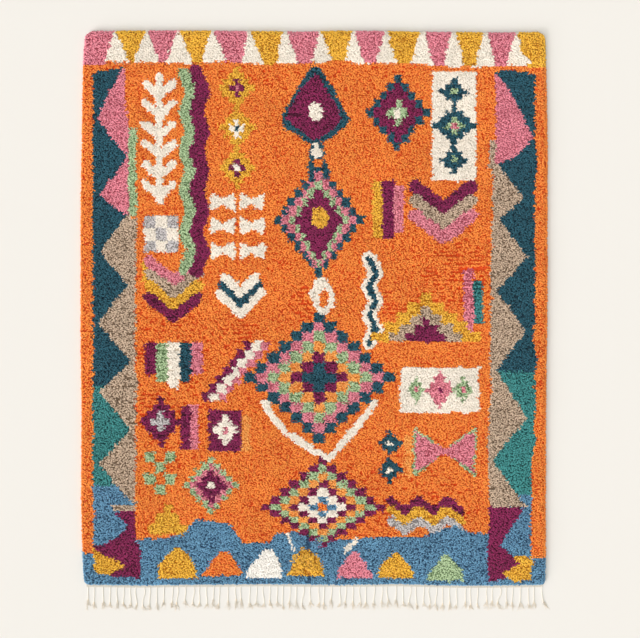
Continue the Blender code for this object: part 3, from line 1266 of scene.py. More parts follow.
def wool_material(yarn, lit, deep):
    """Hand-spun wool, dyed in the yarn and cut.

    Its cut ends scatter light, so it looks matt and soft, with a faint bloom where they
    are seen from the side. The dye varies from tuft to tuft and from lot to lot. Down in
    the pile it is painted deeper and darker, a painted shade mixed between a lit and a
    shaded copy of the yarn's colour.
    """
    material, tree, shader = new_material(f"wool_pile_yarn_{yarn}")
    place = add_node(tree, "ShaderNodeTexCoord").outputs["Object"]
    tuft = add_node(tree, "ShaderNodeAttribute", {"attribute_name": "tuft"}).outputs["Fac"]
    height = add_node(tree, "ShaderNodeAttribute", {"attribute_name": "height"}).outputs["Fac"]
    fibre = add_node(
        tree,
        "ShaderNodeTexNoise",
        {"Scale": WOOL_FIBRE, "Detail": 2.0, "Roughness": 0.6},
        {"Vector": place},
    ).outputs["Fac"]
    dye = add_node(
        tree, "ShaderNodeTexNoise", {"Scale": DYE_DRIFT, "Detail": 2.0}, {"Vector": place}
    ).outputs["Fac"]
    # Painted shade: each lock is painted darker towards its root, deep in the pile
    painted_light_by_height = add_node(
        tree,
        "ShaderNodeMapRange",
        {"From Min": 0.1, "From Max": 0.8, "To Min": 0.0, "To Max": 1.0},
        {"Value": height},
    ).outputs["Result"]
    mottle = add_node(
        tree,
        "ShaderNodeMapRange",
        {"From Min": 0.3, "From Max": 0.7, "To Min": 0.80, "To Max": 1.05},
        {"Value": fibre},
    ).outputs["Result"]
    tone = add_node(
        tree, "ShaderNodeMath", {"operation": "MULTIPLY"}, {0: painted_light_by_height, 1: mottle}
    ).outputs[0]
    tone = add_node(
        tree, "ShaderNodeMath", {"operation": "MULTIPLY"}, {0: tone, 1: tuft}
    ).outputs[0]
    # The tone mixes the shaded copy of the colour, painted shade, with the lit copy, painted light
    mixed = add_node(
        tree,
        "ShaderNodeMix",
        {"data_type": "RGBA", 6: (*to_linear(deep), 1), 7: (*to_linear(lit), 1)},
        {0: tone},
    ).outputs[2]
    lot = add_node(
        tree,
        "ShaderNodeMapRange",
        {"From Min": 0.3, "From Max": 0.7, "To Min": 0.94, "To Max": 1.04},
        {"Value": dye},
    ).outputs["Result"]
    tint = add_node(
        tree, "ShaderNodeVectorMath", {"operation": "SCALE"}, {0: mixed, "Scale": lot}
    ).outputs[0]
    tree.links.new(tint, shader.inputs["Base Color"])
    bump = add_node(
        tree,
        "ShaderNodeBump",
        {"Strength": 0.5, "Distance": 0.0008},
        {"Height": fibre},
    ).outputs[0]
    tree.links.new(bump, shader.inputs["Normal"])
    shader.inputs["Roughness"].default_value = 0.92
    shader.inputs["Sheen Weight"].default_value = 0.12
    shader.inputs["Sheen Roughness"].default_value = 0.5
    return material


def cotton_material():
    """Undyed cotton warp, plied and twisted.

    It looks off-white and matt, with a fine slanting crease between its plies that is
    painted a little darker as painted shade. It goes tan where it frays, and close to the
    floor it is painted tan as painted shade.
    """
    material, tree, shader = new_material("fringe_cotton_yarn")
    place = add_node(tree, "ShaderNodeTexCoord").outputs["Object"]
    twist = add_node(tree, "ShaderNodeUVMap", {"uv_map": "twist"}).outputs["UV"]
    fray = add_node(tree, "ShaderNodeAttribute", {"attribute_name": "fray"}).outputs["Fac"]
    plies = add_node(
        tree,
        "ShaderNodeTexWave",
        {
            "bands_direction": "DIAGONAL",
            "Scale": YARN_PLIES,
            "Distortion": 0.4,
            "Detail": 1.0,
        },
        {"Vector": twist},
    ).outputs["Fac"]
    fine = add_node(
        tree, "ShaderNodeTexNoise", {"Scale": COTTON_FIBRE, "Detail": 3.0}, {"Vector": place}
    ).outputs["Fac"]
    # Painted shade: the crease between the plies is painted a little darker
    crease = add_node(
        tree,
        "ShaderNodeMapRange",
        {"From Min": 0.0, "From Max": 0.35, "To Min": 0.93, "To Max": 1.0},
        {"Value": plies},
    ).outputs["Result"]
    speck = add_node(
        tree,
        "ShaderNodeMapRange",
        {"From Min": 0.3, "From Max": 0.7, "To Min": 0.94, "To Max": 1.03},
        {"Value": fine},
    ).outputs["Result"]
    tone = add_node(
        tree, "ShaderNodeMath", {"operation": "MULTIPLY"}, {0: crease, 1: speck}
    ).outputs[0]
    height = add_node(tree, "ShaderNodeSeparateXYZ", links={"Vector": place}).outputs["Z"]
    # Painted shade: close to the floor the cotton is painted towards tan
    deep = add_node(
        tree,
        "ShaderNodeMapRange",
        {"From Min": 0.0004, "From Max": 0.0014, "To Min": 0.18, "To Max": 0.0},
        {"Value": height},
    ).outputs["Result"]
    fray_and_painted_shade = add_node(
        tree, "ShaderNodeMath", {"operation": "MAXIMUM"}, {0: deep, 1: fray}
    ).outputs[0]
    mixed = add_node(
        tree,
        "ShaderNodeMix",
        {"data_type": "RGBA", 6: (*to_linear(COTTON), 1), 7: (*to_linear(COTTON_TAN), 1)},
        {0: fray_and_painted_shade},
    ).outputs[2]
    tint = add_node(
        tree, "ShaderNodeVectorMath", {"operation": "SCALE"}, {0: mixed, "Scale": tone}
    ).outputs[0]
    tree.links.new(tint, shader.inputs["Base Color"])
    bump = add_node(
        tree, "ShaderNodeBump", {"Strength": 0.7, "Distance": 0.0008}, {"Height": plies}
    ).outputs[0]
    bump = add_node(
        tree,
        "ShaderNodeBump",
        {"Strength": 0.3, "Distance": 0.0004},
        {"Height": fine, "Normal": bump},
    ).outputs[0]
    tree.links.new(bump, shader.inputs["Normal"])
    shader.inputs["Roughness"].default_value = 0.9
    shader.inputs["Sheen Weight"].default_value = 0.1
    return material


def strip_material():
    """Undyed cotton in plain weave, warps side by side and weft across them.

    It looks matt, like a fine grid of pale crowns with hollows between them that are
    painted darker, as painted shade.
    """
    material, tree, shader = new_material("fringe_cotton_weave")
    place = add_node(tree, "ShaderNodeTexCoord").outputs["Object"]
    warp = add_node(
        tree,
        "ShaderNodeTexWave",
        {"bands_direction": "X", "Scale": STRIP_WARP, "Distortion": 0.8, "Detail": 2.0},
        {"Vector": place},
    ).outputs["Fac"]
    weft = add_node(
        tree,
        "ShaderNodeTexWave",
        {"bands_direction": "Y", "Scale": STRIP_WEFT, "Distortion": 0.6, "Detail": 2.0},
        {"Vector": place},
    ).outputs["Fac"]
    weave = add_node(
        tree, "ShaderNodeMath", {"operation": "MULTIPLY"}, {0: warp, 1: weft}
    ).outputs[0]
    # Painted shade: the hollows of the weave are painted darker than its crowns
    tint = add_node(
        tree,
        "ShaderNodeMix",
        {
            "data_type": "RGBA",
            6: (*to_linear(STRIP_HOLLOWS), 1),
            7: (*to_linear(STRIP_CROWNS), 1),
        },
        {0: weave},
    ).outputs[2]
    tree.links.new(tint, shader.inputs["Base Color"])
    bump = add_node(
        tree, "ShaderNodeBump", {"Strength": 0.8, "Distance": 0.0008}, {"Height": weave}
    ).outputs[0]
    tree.links.new(bump, shader.inputs["Normal"])
    shader.inputs["Roughness"].default_value = 0.9
    return material


# ---------------------------------------------------------------- pile


# Patches where the rows part, with the dark between them: real shade where the knots sink, and
# painted shade on the sunk knots
PARTED = (
    # across, down, wide, tall, share of knots that sink
    (0.620, 1.040, 0.340, 0.320, 0.55),
    (0.360, 1.160, 0.340, 0.140, 0.45),
    (-0.040, 1.170, 0.150, 0.180, 0.70),
    (-0.340, 1.280, 0.220, 0.160, 0.40),
    (-0.640, 1.500, 0.440, 0.900, 0.22),
    (0.450, 1.950, 0.700, 0.420, 0.15),
    (0.060, 0.200, 1.300, 0.120, 0.10),
)

# Single creases in the pile
CREASES = (
    # across_1, down_1, across_2, down_2, width
    (-0.018, 2.138, -0.026, 2.222, 0.015),
    (-0.010, 2.235, -0.034, 2.275, 0.013),
    (0.006, 2.255, 0.012, 2.300, 0.012),
    (-0.052, 2.290, -0.030, 2.322, 0.012),
    (-0.018, 2.325, -0.022, 2.372, 0.013),
    (0.620, 1.020, 0.730, 1.022, 0.011),
    (-0.985, 1.284, -0.935, 1.285, 0.006),
    (-0.350, 1.293, -0.310, 1.291, 0.007),
    (-0.118, 0.356, -0.050, 0.357, 0.010),
    (-0.015, 1.228, -0.012, 1.265, 0.008),
    (-0.190, 1.500, -0.185, 1.530, 0.007),
)

# Places where a yarn comes from a paler dye lot
PALE_LOTS = (
    # yarn, across, down, reach, gain
    ("pink", 0.176, 2.290, 0.100, 0.50),
    ("sage", 0.570, 2.290, 0.100, 0.30),
    ("jade", 0.870, 1.850, 0.260, 0.40),
    ("plum", 0.810, 2.120, 0.100, 0.42),
)


def sink_knots(across, down, dice):
    """How far each tuft lies below its neighbours, from 0 to 1."""
    # Knots sink together in short runs, along every other row
    row = np.rint(down / (SLAB_LENGTH / KNOT_ROWS)).astype(int)
    run = np.floor((across + 2 + 0.37 * (row % 7)) / SUNK_RUN).astype(int)
    tray = dice.random((row.max() + 1, run.max() + 1))
    sunk = np.zeros(across.shape)
    for x, y, wide, tall, share in PARTED:
        off = ((across - x) / (wide / 2)) ** 2 + ((down - y) / (tall / 2)) ** 2
        near = np.clip(2.0 * (1 - off), 0, 1)
        gap = (row % 2 == 0) & (tray[row, run] < share * near)
        sunk = np.maximum(sunk, np.where(gap, 0.85, 0))
    for x1, y1, x2, y2, width in CREASES:
        long = math.hypot(x2 - x1, y2 - y1)
        share = ((across - x1) * (x2 - x1) + (down - y1) * (y2 - y1)) / long**2
        share = np.clip(share, 0, 1)
        off = np.hypot(across - x1 - share * (x2 - x1), down - y1 - share * (y2 - y1))
        sunk = np.maximum(sunk, np.clip(1.5 - off / (width / 2), 0, 1))
    return sunk


def chart_knots():
    """Lays out the knots and gives each its yarn."""
    dice = np.random.default_rng(11)
    rows, columns = np.mgrid[0:KNOT_ROWS, 0:KNOT_COLUMNS]
    stagger = np.where(rows % 2 == 0, -ROW_STAGGER, ROW_STAGGER)
    stagger = stagger + dice.normal(0, ROW_SHIFT, (KNOT_ROWS, 1))
    share_across = (columns + 0.5 + stagger) / KNOT_COLUMNS
    share_down = (rows + 0.5) / KNOT_ROWS
    x, y = on_slab(np.clip(share_across, 0.001, 0.999), share_down)
    wander_x = SLOW_WANDER[0] * drift(x, y, 0.09, 3)
    wander_y = SLOW_WANDER[1] * drift(x, y, 0.11, 4)
    comb = dice.normal(0, COMB_WANDER, (KNOT_ROWS, KNOT_COLUMNS // COMB_KNOTS + 1))
    comb = np.repeat(comb, COMB_KNOTS, 1)[:, :KNOT_COLUMNS]
    chart = {
        "x": x,
        "y": y,
        "across": x - MIDDLE + wander_x + comb + dice.normal(0, KNOT_WANDER, x.shape),
        "down": HEAD - y + wander_y + dice.normal(0, KNOT_WANDER, x.shape),
        "yarn": np.full(x.shape, YARN_NAMES.index("orange")),
    }
    knot_field(chart)
    knot_column(chart)
    knot_head(chart)
    knot_sides(chart)
    knot_foot(chart)
    knot_last_lozenge(chart)
    knot_foot_teeth(chart)
    return chart


def build_tufts(chart):
    """Two cut ends for each knot, lying mostly along their row."""
    dice = np.random.default_rng(23)
    x, y = chart["x"].ravel(), chart["y"].ravel()
    yarn = chart["yarn"].ravel()
    swing = dice.choice([-1, 1], x.size) * dice.uniform(*HALF_KNOT, x.size)
    half_row = SLAB_LENGTH / KNOT_ROWS / 4
    x = np.concatenate([x - swing, x + swing])
    y = np.concatenate([y - half_row, y + half_row])
    yarn = np.concatenate([yarn, yarn])
    number = x.size
    x = x + dice.normal(0, TUFT_SCATTER, number)
    y = y + dice.normal(0, TUFT_SCATTER, number)

    # Undyed wool is the softest: its tufts are fuller, and stand and lie more evenly
    cream = np.isin(yarn, [YARN_NAMES.index("cream"), YARN_NAMES.index("white")])
    sway = np.where(cream, 0.4, 1.0)
    lean_x = sway * dice.normal(0, TUFT_SWAY[0], number) + 0.0010 * drift(x, y, 0.05, 8)
    lean_y = sway * dice.normal(0, TUFT_SWAY[1], number)
    lean_y = lean_y + 0.0014 * drift(x, 3 * y, 0.09, 9) - 0.0004

    # The head and right edges face away from the light
    near, out_x, out_y = near_edge(x, y)
    low_edge = np.clip(1 - near / EDGE_SLOPE, 0, 1)
    shaded = (out_x > 0.5) | (out_y > 0.5)
    outward = np.where(shaded, SHADED_EDGE_LEAN, EDGE_LEAN)
    lean_x += out_x * outward * low_edge
    lean_y += out_y * outward * low_edge

    # Some tufts sink among their neighbours, more where the pile is open, and lie in shade; their
    # low tone is painted shade, and all tufts where the pile is open are painted a little darker
    # as painted shade
    open_pile = drift(x, y, 0.16, 14) + drift(x, y, 0.045, 15)
    sunk = (dice.random(number) < np.clip(0.13 + 0.06 * open_pile, 0.03, 0.30)) & ~cream
    tone = np.where(sunk, dice.uniform(0.0, 0.35, number), dice.normal(0.84, 0.22, number))
    tone = tone - 0.06 * open_pile
    for name, across, down, reach, gain in PALE_LOTS:
        here = np.hypot(x - MIDDLE - across, HEAD - y - down) < reach
        tone = tone + np.where(here & (yarn == YARN_NAMES.index(name)), gain, 0)
    # Painted light: tufts near the head and right edges, which lie in shade, are painted lighter
    tone = tone + np.where(shaded, 0.35 * low_edge, 0)
    top = PILE_TOP + lumps(x, y)
    top = top + dice.normal(0, TIP_SCATTER, number) * np.where(cream, 0.2, 1)
    top -= np.where(sunk, dice.uniform(*SUNK_DEPTH, number), 0) + EDGE_DROP * low_edge**2
    parted = sink_knots(x - MIDDLE, HEAD - y, dice)
    top -= PARTING_DEPTH * parted
    # Painted shade: tufts in partings and creases are painted much darker
    tone = np.where(parted > 0.4, 0.15 * tone, tone)
    tufts = {
        "x": x,
        "y": y,
        "lean_x": lean_x,
        "lean_y": lean_y,
        "back": np.full(number, TUFT_BACK),
        "top": top,
        "low": np.full(number, GROUND_THICK),
        "bloom": dice.uniform(*TUFT_BLOOM, number) * np.where(cream, 0.3, 1),
        "turn": dice.normal(0, 0.45, number)
        + math.pi * dice.integers(0, 2, number)
        + 0.25 * drift(x, y, 0.06, 12),
        "long": dice.uniform(*TUFT_LONG, number) * np.where(cream, 1.20, 1),
        "short": dice.uniform(*TUFT_SHORT, number) * np.where(cream, 1.35, 1),
        "uneven": dice.uniform(*TUFT_UNEVEN, (number, 3)),
        "tone": np.clip(tone, 0, 1),
    }
    return tufts, yarn


def near_edge(x, y):
    """Distance from the nearest edge of the ground, and the way out to it."""
    down = SLAB_HEAD - y
    left = x - (MIDDLE - read_edges(down, 1))
    right = MIDDLE + read_edges(down, 2) - x
    head = head_line(x) - y
    foot = y - foot_line(x)
    gaps = np.stack([left, right, head, foot])
    first = np.argmin(gaps, 0)
    out_x = np.choose(first, [-1.0, 1.0, 0.0, 0.0])
    out_y = np.choose(first, [0.0, 0.0, 1.0, -1.0])
    return np.min(gaps, 0), out_x, out_y


# Long locks that lie tousled on the pile
TOUSLED = (
    # yarn, across, down, wide, tall, count
    ("mustard", -0.036, 2.278, 0.135, 0.095, 190),
    ("blue", -0.070, 2.190, 0.060, 0.060, 26),
    ("blue", 0.020, 2.190, 0.050, 0.060, 22),
    ("mustard", 0.355, 2.318, 0.100, 0.050, 40),
    ("mustard", 0.026, 0.800, 0.070, 0.080, 50),
    ("cream", 0.036, 1.090, 0.060, 0.050, 24),
)


def build_tousled():
    """Locks longer than their neighbours, fallen every way on top of the pile."""
    dice = np.random.default_rng(37)
    parts = []
    yarns = []
    for yarn, across, down, wide, tall, count in TOUSLED:
        x = MIDDLE + across + wide / 2 * dice.uniform(-1, 1, count) * 0.85
        y = HEAD - down + tall / 2 * dice.uniform(-1, 1, count) * 0.85
        turn = dice.uniform(0, 2 * math.pi, count)
        long = dice.uniform(*TOUSLED_LENGTH, count)
        parts.append(
            {
                "x": x,
                "y": y,
                "lean_x": long * np.cos(turn),
                "lean_y": long * np.sin(turn),
                "back": np.full(count, 0.5),
                "top": PILE_TOP + lumps(x, y) + dice.uniform(0.0, 0.0030, count),
                "low": np.full(count, PILE_TOP - 0.003),
                "bloom": long * 0.7,
                "turn": turn + math.pi / 2,
                "long": dice.uniform(*TOUSLED_LONG, count),
                "short": dice.uniform(*TOUSLED_SHORT, count),
                "uneven": dice.uniform(0.8, 1.2, (count, 3)),
                "tone": np.clip(dice.normal(0.85, 0.2, count), 0, 1),
            }
        )
        yarns.append(np.full(count, YARN_NAMES.index(yarn)))
    tousled = {key: np.concatenate([part[key] for part in parts]) for key in parts[0]}
    return tousled, np.concatenate(yarns)


# Layers of locks that lie out over the edge; the lower layers have a lower tone, painted shade
# under the upper ones
RIM = (
    # root_height, tip_height, reach, inset, tone
    (0.0095, 0.0150, 0.0050, 0.0060, 1.00),
    (0.0055, 0.0085, 0.0060, 0.0050, 0.90),
    (0.0025, 0.0032, 0.0042, 0.0040, 0.55),
)


def rim_shares():
    """Even places round the ground's four edges, as shares of its width and length."""
    shares = []
    for side, length in enumerate((2.0, SLAB_LENGTH, 2.0, SLAB_LENGTH)):
        share = (np.arange(int(length / RIM_PITCH)) + 0.5) / int(length / RIM_PITCH)
        still = np.zeros(len(share))
        lines = (
            (share, still),
            (still + 1, share),
            (1 - share, still + 1),
            (still, 1 - share),
        )
        shares.append(np.stack(lines[side], 1))
    return np.concatenate(shares)


def build_rim(chart):
    """Locks along all four edges, lying out and down to the floor."""
    dice = np.random.default_rng(31)
    shares = rim_shares()
    x, y = on_slab(shares[:, 0], shares[:, 1])
    ahead_x = np.roll(x, -1) - np.roll(x, 1)
    ahead_y = np.roll(y, -1) - np.roll(y, 1)
    long = np.hypot(ahead_x, ahead_y) + 1e-9
    out_x, out_y = -ahead_y / long, ahead_x / long
    # Outward is away from the middle of the rug
    outward = np.sign((x - MIDDLE) * out_x + (y - HEAD + SLAB_LENGTH / 2) * out_y)
    out_x, out_y = out_x * outward, out_y * outward
    row = np.clip((shares[:, 1] * KNOT_ROWS).astype(int), 0, KNOT_ROWS - 1)
    column = np.clip((shares[:, 0] * KNOT_COLUMNS).astype(int), 0, KNOT_COLUMNS - 1)
    yarn = chart["yarn"][row, column]
    number = len(x)
    layers = []
    for low, high, reach, inset, tone in RIM:
        # At the foot the locks are short, because the strip begins there
        far = reach * dice.uniform(0.6, 1.35, number)
        far = np.where(out_y < -0.7, 0.5 * far, far)
        sway = dice.normal(0, 0.0018, number)
        layers.append(
            {
                "x": x - out_x * inset + out_y * sway,
                "y": y - out_y * inset - out_x * sway,
                "lean_x": out_x * (inset + far) + out_y * sway,
                "lean_y": out_y * (inset + far) - out_x * sway,
                "back": np.zeros(number),
                "top": high + dice.normal(0, 0.0012, number),
                "low": np.full(number, low),
                "bloom": dice.uniform(*RIM_BLOOM, number),
                "turn": np.arctan2(out_x, -out_y) + dice.normal(0, 0.3, number),
                "long": dice.uniform(*RIM_LONG, number),
                "short": dice.uniform(*RIM_SHORT, number),
                "uneven": dice.uniform(*TUFT_UNEVEN, (number, 3)),
                "tone": np.clip(dice.normal(tone, 0.15, number), 0, 1),
            }
        )
    rim = {key: np.concatenate([layer[key] for layer in layers]) for key in layers[0]}
    return rim, np.tile(yarn, len(RIM))


def split_tufts(tufts, yarn):
    """Makes the pieces: one for each yarn, and the field's in bands down the rug."""
    pieces = []
    for index, name in enumerate(YARN_NAMES):
        chosen = np.flatnonzero(yarn == index)
        material = wool_material(name, *YARNS[name])
        order = chosen[np.argsort(-tufts["y"][chosen], kind="stable")]
        parts = math.ceil(len(order) / TUFTS_IN_PIECE)
        for number, part in enumerate(np.array_split(order, parts)):
            label = f"pile_{name}" if parts == 1 else f"pile_{name}_{number + 1}"
            pieces.append(make_tufts(label, {k: v[part] for k, v in tufts.items()}, material))
    return pieces


def build_body(chart):
    """The cloth itself: woven ground below, and the close body of the pile in its yarns, its top
    painted in their deep colours as painted shade.
    """
    dice = np.random.default_rng(41)

    def top_places(share_across, share_down):
        x, y = on_slab(share_across, share_down)
        near = np.clip(near_edge(x, y)[0] / BODY_SLOPE, 0, 1)
        high = BODY_RIM_TOP + (BODY_TOP - BODY_RIM_TOP) * near
        high += lumps(x, y) + dice.normal(0, BODY_GRAIN, x.shape)
        return np.stack([x, y, high], -1)

    form = laid_slab(BODY_CELLS, top_places, BODY_BOTTOM)
    piece = finish_piece("knotted_body", form, body_material())
    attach(piece, "root")
    colour_knots(piece.data, chart)
    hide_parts("pile")
    return piece


def colour_knots(mesh, chart):
    """Gives each face its yarn's deep colour above, as painted shade, and its lit one below; the
    sides are undyed.
    """
    faces = len(mesh.polygons)
    shares = np.zeros(faces * 8)
    mesh.uv_layers["share"].data.foreach_get("uv", shares)
    mesh.uv_layers.remove(mesh.uv_layers["share"])
    shares = shares.reshape(faces, 4, 2).mean(1)
    ups = np.zeros(faces * 3)
    mesh.polygons.foreach_get("normal", ups)
    ups = ups.reshape(faces, 3)[:, 2]
    rows = np.clip(((1 - shares[:, 1]) * KNOT_ROWS).astype(int), 0, KNOT_ROWS - 1)
    columns = np.clip((shares[:, 0] * KNOT_COLUMNS).astype(int), 0, KNOT_COLUMNS - 1)
    yarn = chart["yarn"][rows, columns]
    lit = np.array([to_linear(pair[0]) for pair in YARNS.values()])
    deep = np.array([to_linear(pair[1]) for pair in YARNS.values()])
    colours = np.tile(to_linear(UNDYED_GROUND), (faces, 1))
    # Painted shade: the top of the body takes each yarn's shaded colour
    colours[ups > 0.5] = deep[yarn[ups > 0.5]]
    colours[ups < -0.5] = lit[yarn[ups < -0.5]]
    colours = np.concatenate([colours, np.ones((faces, 1))], 1)
    layer = mesh.color_attributes.new("knots", "FLOAT_COLOR", "CORNER")
    layer.data.foreach_set("color", np.repeat(colours, 4, 0).astype(np.float32).ravel())


def body_material():
    """Wool knots packed on a cotton ground.

    From below they look like small matt beads of each yarn in rows, with lines of
    off-white weft between the rows. From above they are the dark between the tufts,
    painted in each yarn's deep colour as painted shade.
    """
    material, tree, shader = new_material("knotted_wool_on_cotton")
    place = add_node(tree, "ShaderNodeTexCoord").outputs["Object"]
    knots = add_node(tree, "ShaderNodeAttribute", {"attribute_name": "knots"}).outputs["Color"]
    weft = add_node(
        tree,
        "ShaderNodeTexWave",
        {"bands_direction": "Y", "Scale": GROUND_WEFT, "Distortion": 1.2, "Detail": 2.0},
        {"Vector": place},
    ).outputs["Fac"]
    fibre = add_node(
        tree, "ShaderNodeTexNoise", {"Scale": GROUND_FIBRE, "Detail": 2.0}, {"Vector": place}
    ).outputs["Fac"]
    split = add_node(tree, "ShaderNodeSeparateXYZ", links={"Vector": place})
    below = add_node(
        tree,
        "ShaderNodeMapRange",
        {"From Min": 0.001, "From Max": 0.002, "To Min": 1.0, "To Max": 0.0},
        {"Value": split.outputs["Z"]},
    ).outputs["Result"]
    rows = add_node(
        tree,
        "ShaderNodeMapRange",
        {"From Min": 0.35, "From Max": 0.65, "To Min": 0.0, "To Max": 0.6},
        {"Value": weft},
    ).outputs["Result"]
    rows = add_node(tree, "ShaderNodeMath", {"operation": "MULTIPLY"}, {0: rows, 1: below})
    mixed = add_node(
        tree,
        "ShaderNodeMix",
        {"data_type": "RGBA", 7: (*to_linear(GROUND_COTTON), 1)},
        {0: rows.outputs[0], 6: knots},
    ).outputs[2]
    fluff = add_node(
        tree,
        "ShaderNodeMapRange",
        {"From Min": 0.3, "From Max": 0.7, "To Min": 0.75, "To Max": 1.1},
        {"Value": fibre},
    ).outputs["Result"]
    tint = add_node(
        tree, "ShaderNodeVectorMath", {"operation": "SCALE"}, {0: mixed, "Scale": fluff}
    ).outputs[0]
    tree.links.new(tint, shader.inputs["Base Color"])
    bump = add_node(
        tree, "ShaderNodeBump", {"Strength": 0.6, "Distance": 0.0015}, {"Height": fibre}
    ).outputs[0]
    tree.links.new(bump, shader.inputs["Normal"])
    shader.inputs["Roughness"].default_value = 0.95
    return material


# ---------------------------------------------------------------- fringe


def build_strip():
    """The narrow woven strip that the fringe hangs from."""

    def top_places(share_across, share_down):
        x = MIDDLE + STRIP_LEFT + (STRIP_RIGHT - STRIP_LEFT) * share_across
        y = foot_line(x) - STRIP_GAP - STRIP_DEPTH * share_down
        z = STRIP_THICK * (1.0 - 0.2 * (2 * share_down - 1) ** 2)
        z = z + STRIP_RIB_RISE * np.sin(x * 2 * math.pi / STRIP_RIB_PITCH)
        return np.stack([x, y, z], -1)

    form = laid_slab(STRIP_CELLS, top_places, STRIP_BOTTOM)
    piece = finish_piece("fringe_strip", form, strip_material())
    piece.data.uv_layers.remove(piece.data.uv_layers["share"])
    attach(piece, "root")
    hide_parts("fringe")
    return piece


def uneven(number, start):
    """A value from -1 to 1 that jumps about from one cord to the next."""
    return np.sin(2.4 * number + 3.0 * np.sin(0.9 * number + start))


def lay_cords(dice):
    """Where each cord starts, how far it runs to its knot and its end, and how it lies."""
    number = np.arange(CORDS)
    inner = (number > 0) & (number < CORDS - 1)
    middle = MIDDLE + np.linspace(FIRST_CORD, LAST_CORD, CORDS)
    middle = middle + CORD_SHIFT * inner * uneven(number, 0.4)
    length = CORD_ROOT + CORD_LENGTH + CORD_LENGTH_CHANGE * uneven(number, 1.9)
    lean = LEAN * np.sin(0.31 * number) + LEAN_CHANGE * uneven(number, 3.1)
    lean[-1] = LAST_SPLAY
    knot = dice.uniform(*CORD_KNOT_AT, CORDS) * length
    bow = dice.normal(0, CORD_BOW, CORDS)
    bow[[0, -1]] = 0
    return {
        "middle": middle,
        "start": foot_line(middle) - STRIP_GAP - STRIP_DEPTH + CORD_ROOT,
        "length": length,
        "lean": lean,
        "knot": knot,
        "bow": bow,
    }


def cord_line(cords, share, which):
    """Sideways place of a cord's middle at a share of its length."""
    return (
        cords["middle"][which]
        + cords["lean"][which] * (0.35 * share + 0.65 * share**3)
        + cords["bow"][which] * np.sin(2.2 * math.pi * share)
    )


def twist_cords(cords, dice, cotton):
    """Three yarns twisted into each cord, down to its knot."""
    rings = 20
    which = np.arange(CORDS)[:, None, None]
    share = np.linspace(0, 1, rings)[None, None]
    yarn = np.arange(YARNS_IN_CORD)[None, :, None]
    down = share * cords["knot"][which] + 0 * yarn
    turn = 2 * math.pi * (down / TWIST_PITCH + yarn / YARNS_IN_CORD)
    turn = turn + dice.uniform(0, 6.3, (CORDS, 1, 1))
    loose = CORD_RADIUS * (1 + 0.35 * (1 - share) ** 4)
    x = cord_line(cords, down / cords["length"][which], which) + loose * np.cos(turn)
    z = YARN_RADIUS + CORD_RADIUS * (0.5 + 0.5 * np.sin(turn))
    paths = np.stack([x, cords["start"][which] - down, z], -1).reshape(-1, rings, 3)
    radii = YARN_RADIUS * dice.uniform(0.92, 1.10, (len(paths), 1)) + 0 * paths[..., 0]
    fray = 0.10 * share[0] + dice.uniform(0, 0.14, (len(paths), 1))
    sweep_yarns("fringe_cords", paths, radii, 5, fray, cotton)


def tie_knots(cords, dice, cotton):
    """The overhand knot of each cord, as a short lumpy bead."""
    which = np.arange(CORDS)[:, None]
    profile = np.array(CORD_KNOT_PROFILE)[None]
    span = np.linspace(-0.5, 0.5, len(CORD_KNOT_PROFILE))[None]
    tall = dice.uniform(*CORD_KNOT_LENGTH, (CORDS, 1))
    down = cords["knot"][which] + tall * (span + 0.35)
    x = cord_line(cords, down / cords["length"][which], which)
    radii = profile * dice.uniform(*CORD_KNOT_RADIUS, (CORDS, 1))
    z = 0.0020 + 0 * x
    paths = np.stack([x, cords["start"][which] - down, z], -1)
    fray = dice.uniform(0.1, 0.9, (CORDS, 1)) + 0 * radii
    sweep_yarns("fringe_knots", paths, radii, 9, fray, cotton)


def fray_ends(cords, dice, cotton):
    """The loose curling ends below each knot."""
    rings = 9
    ends = (CORDS, FRAYED_ENDS, 1)
    which = np.arange(CORDS)[:, None, None]
    share = np.linspace(0, 1, rings)[None, None]
    side = dice.normal(0, 0.6, ends).clip(-1.2, 1.2)
    first = cords["knot"][which] + 0.004
    far = (cords["length"][which] - first) * dice.uniform(0.50, 1.20, ends)
    down = first + share * far
    x = cord_line(cords, down / cords["length"][which], which)
    x = x + side * (0.0020 + 0.0120 * share)
    curl = dice.uniform(5, 12, ends)
    begin = dice.uniform(0, 6.3, ends)
    x = x + 0.0030 * np.sin(share * curl + begin) * share**0.8
    down = down + 0.0018 * np.cos(share * curl * 1.3 + begin) * share
    z = 0.0009 + dice.uniform(0, 0.0014, ends) * (1 - 0.7 * share)
    paths = np.stack([x, cords["start"][which] - down, z + 0 * x], -1).reshape(-1, rings, 3)
    taper = (1.0 - 0.55 * share + 0 * x).reshape(-1, rings)
    radii = FRAYED_RADIUS * taper * dice.uniform(0.8, 1.3, (len(paths), 1))
    fray = dice.uniform(0.2, 1.0, (len(paths), 1)) * (0.55 + 0.45 * share[0])
    sweep_yarns("fringe_ends", paths, radii, 3, fray, cotton)


def build_fringe():
    """Thin twisted cords of warp from the strip, each with its knot and frayed end."""
    dice = np.random.default_rng(53)
    cotton = cotton_material()
    cords = lay_cords(dice)
    twist_cords(cords, dice, cotton)
    tie_knots(cords, dice, cotton)
    fray_ends(cords, dice, cotton)


# ---------------------------------------------------------------- stage


def add_sun(name, from_x, from_y, rise, spread, strength, colour):
    """Adds soft light from one side, at an angle above the floor."""
    data = bpy.data.lights.new(name, "SUN")
    data.angle = math.radians(spread)
    data.energy = strength
    data.color = colour
    light = bpy.data.objects.new(name, data)
    side = math.atan2(from_y, from_x)
    light.rotation_euler = (0, math.radians(90 - rise), side)
    light.location = (2 * from_x, 2 * from_y, 3)
    bpy.context.scene.collection.objects.link(light)


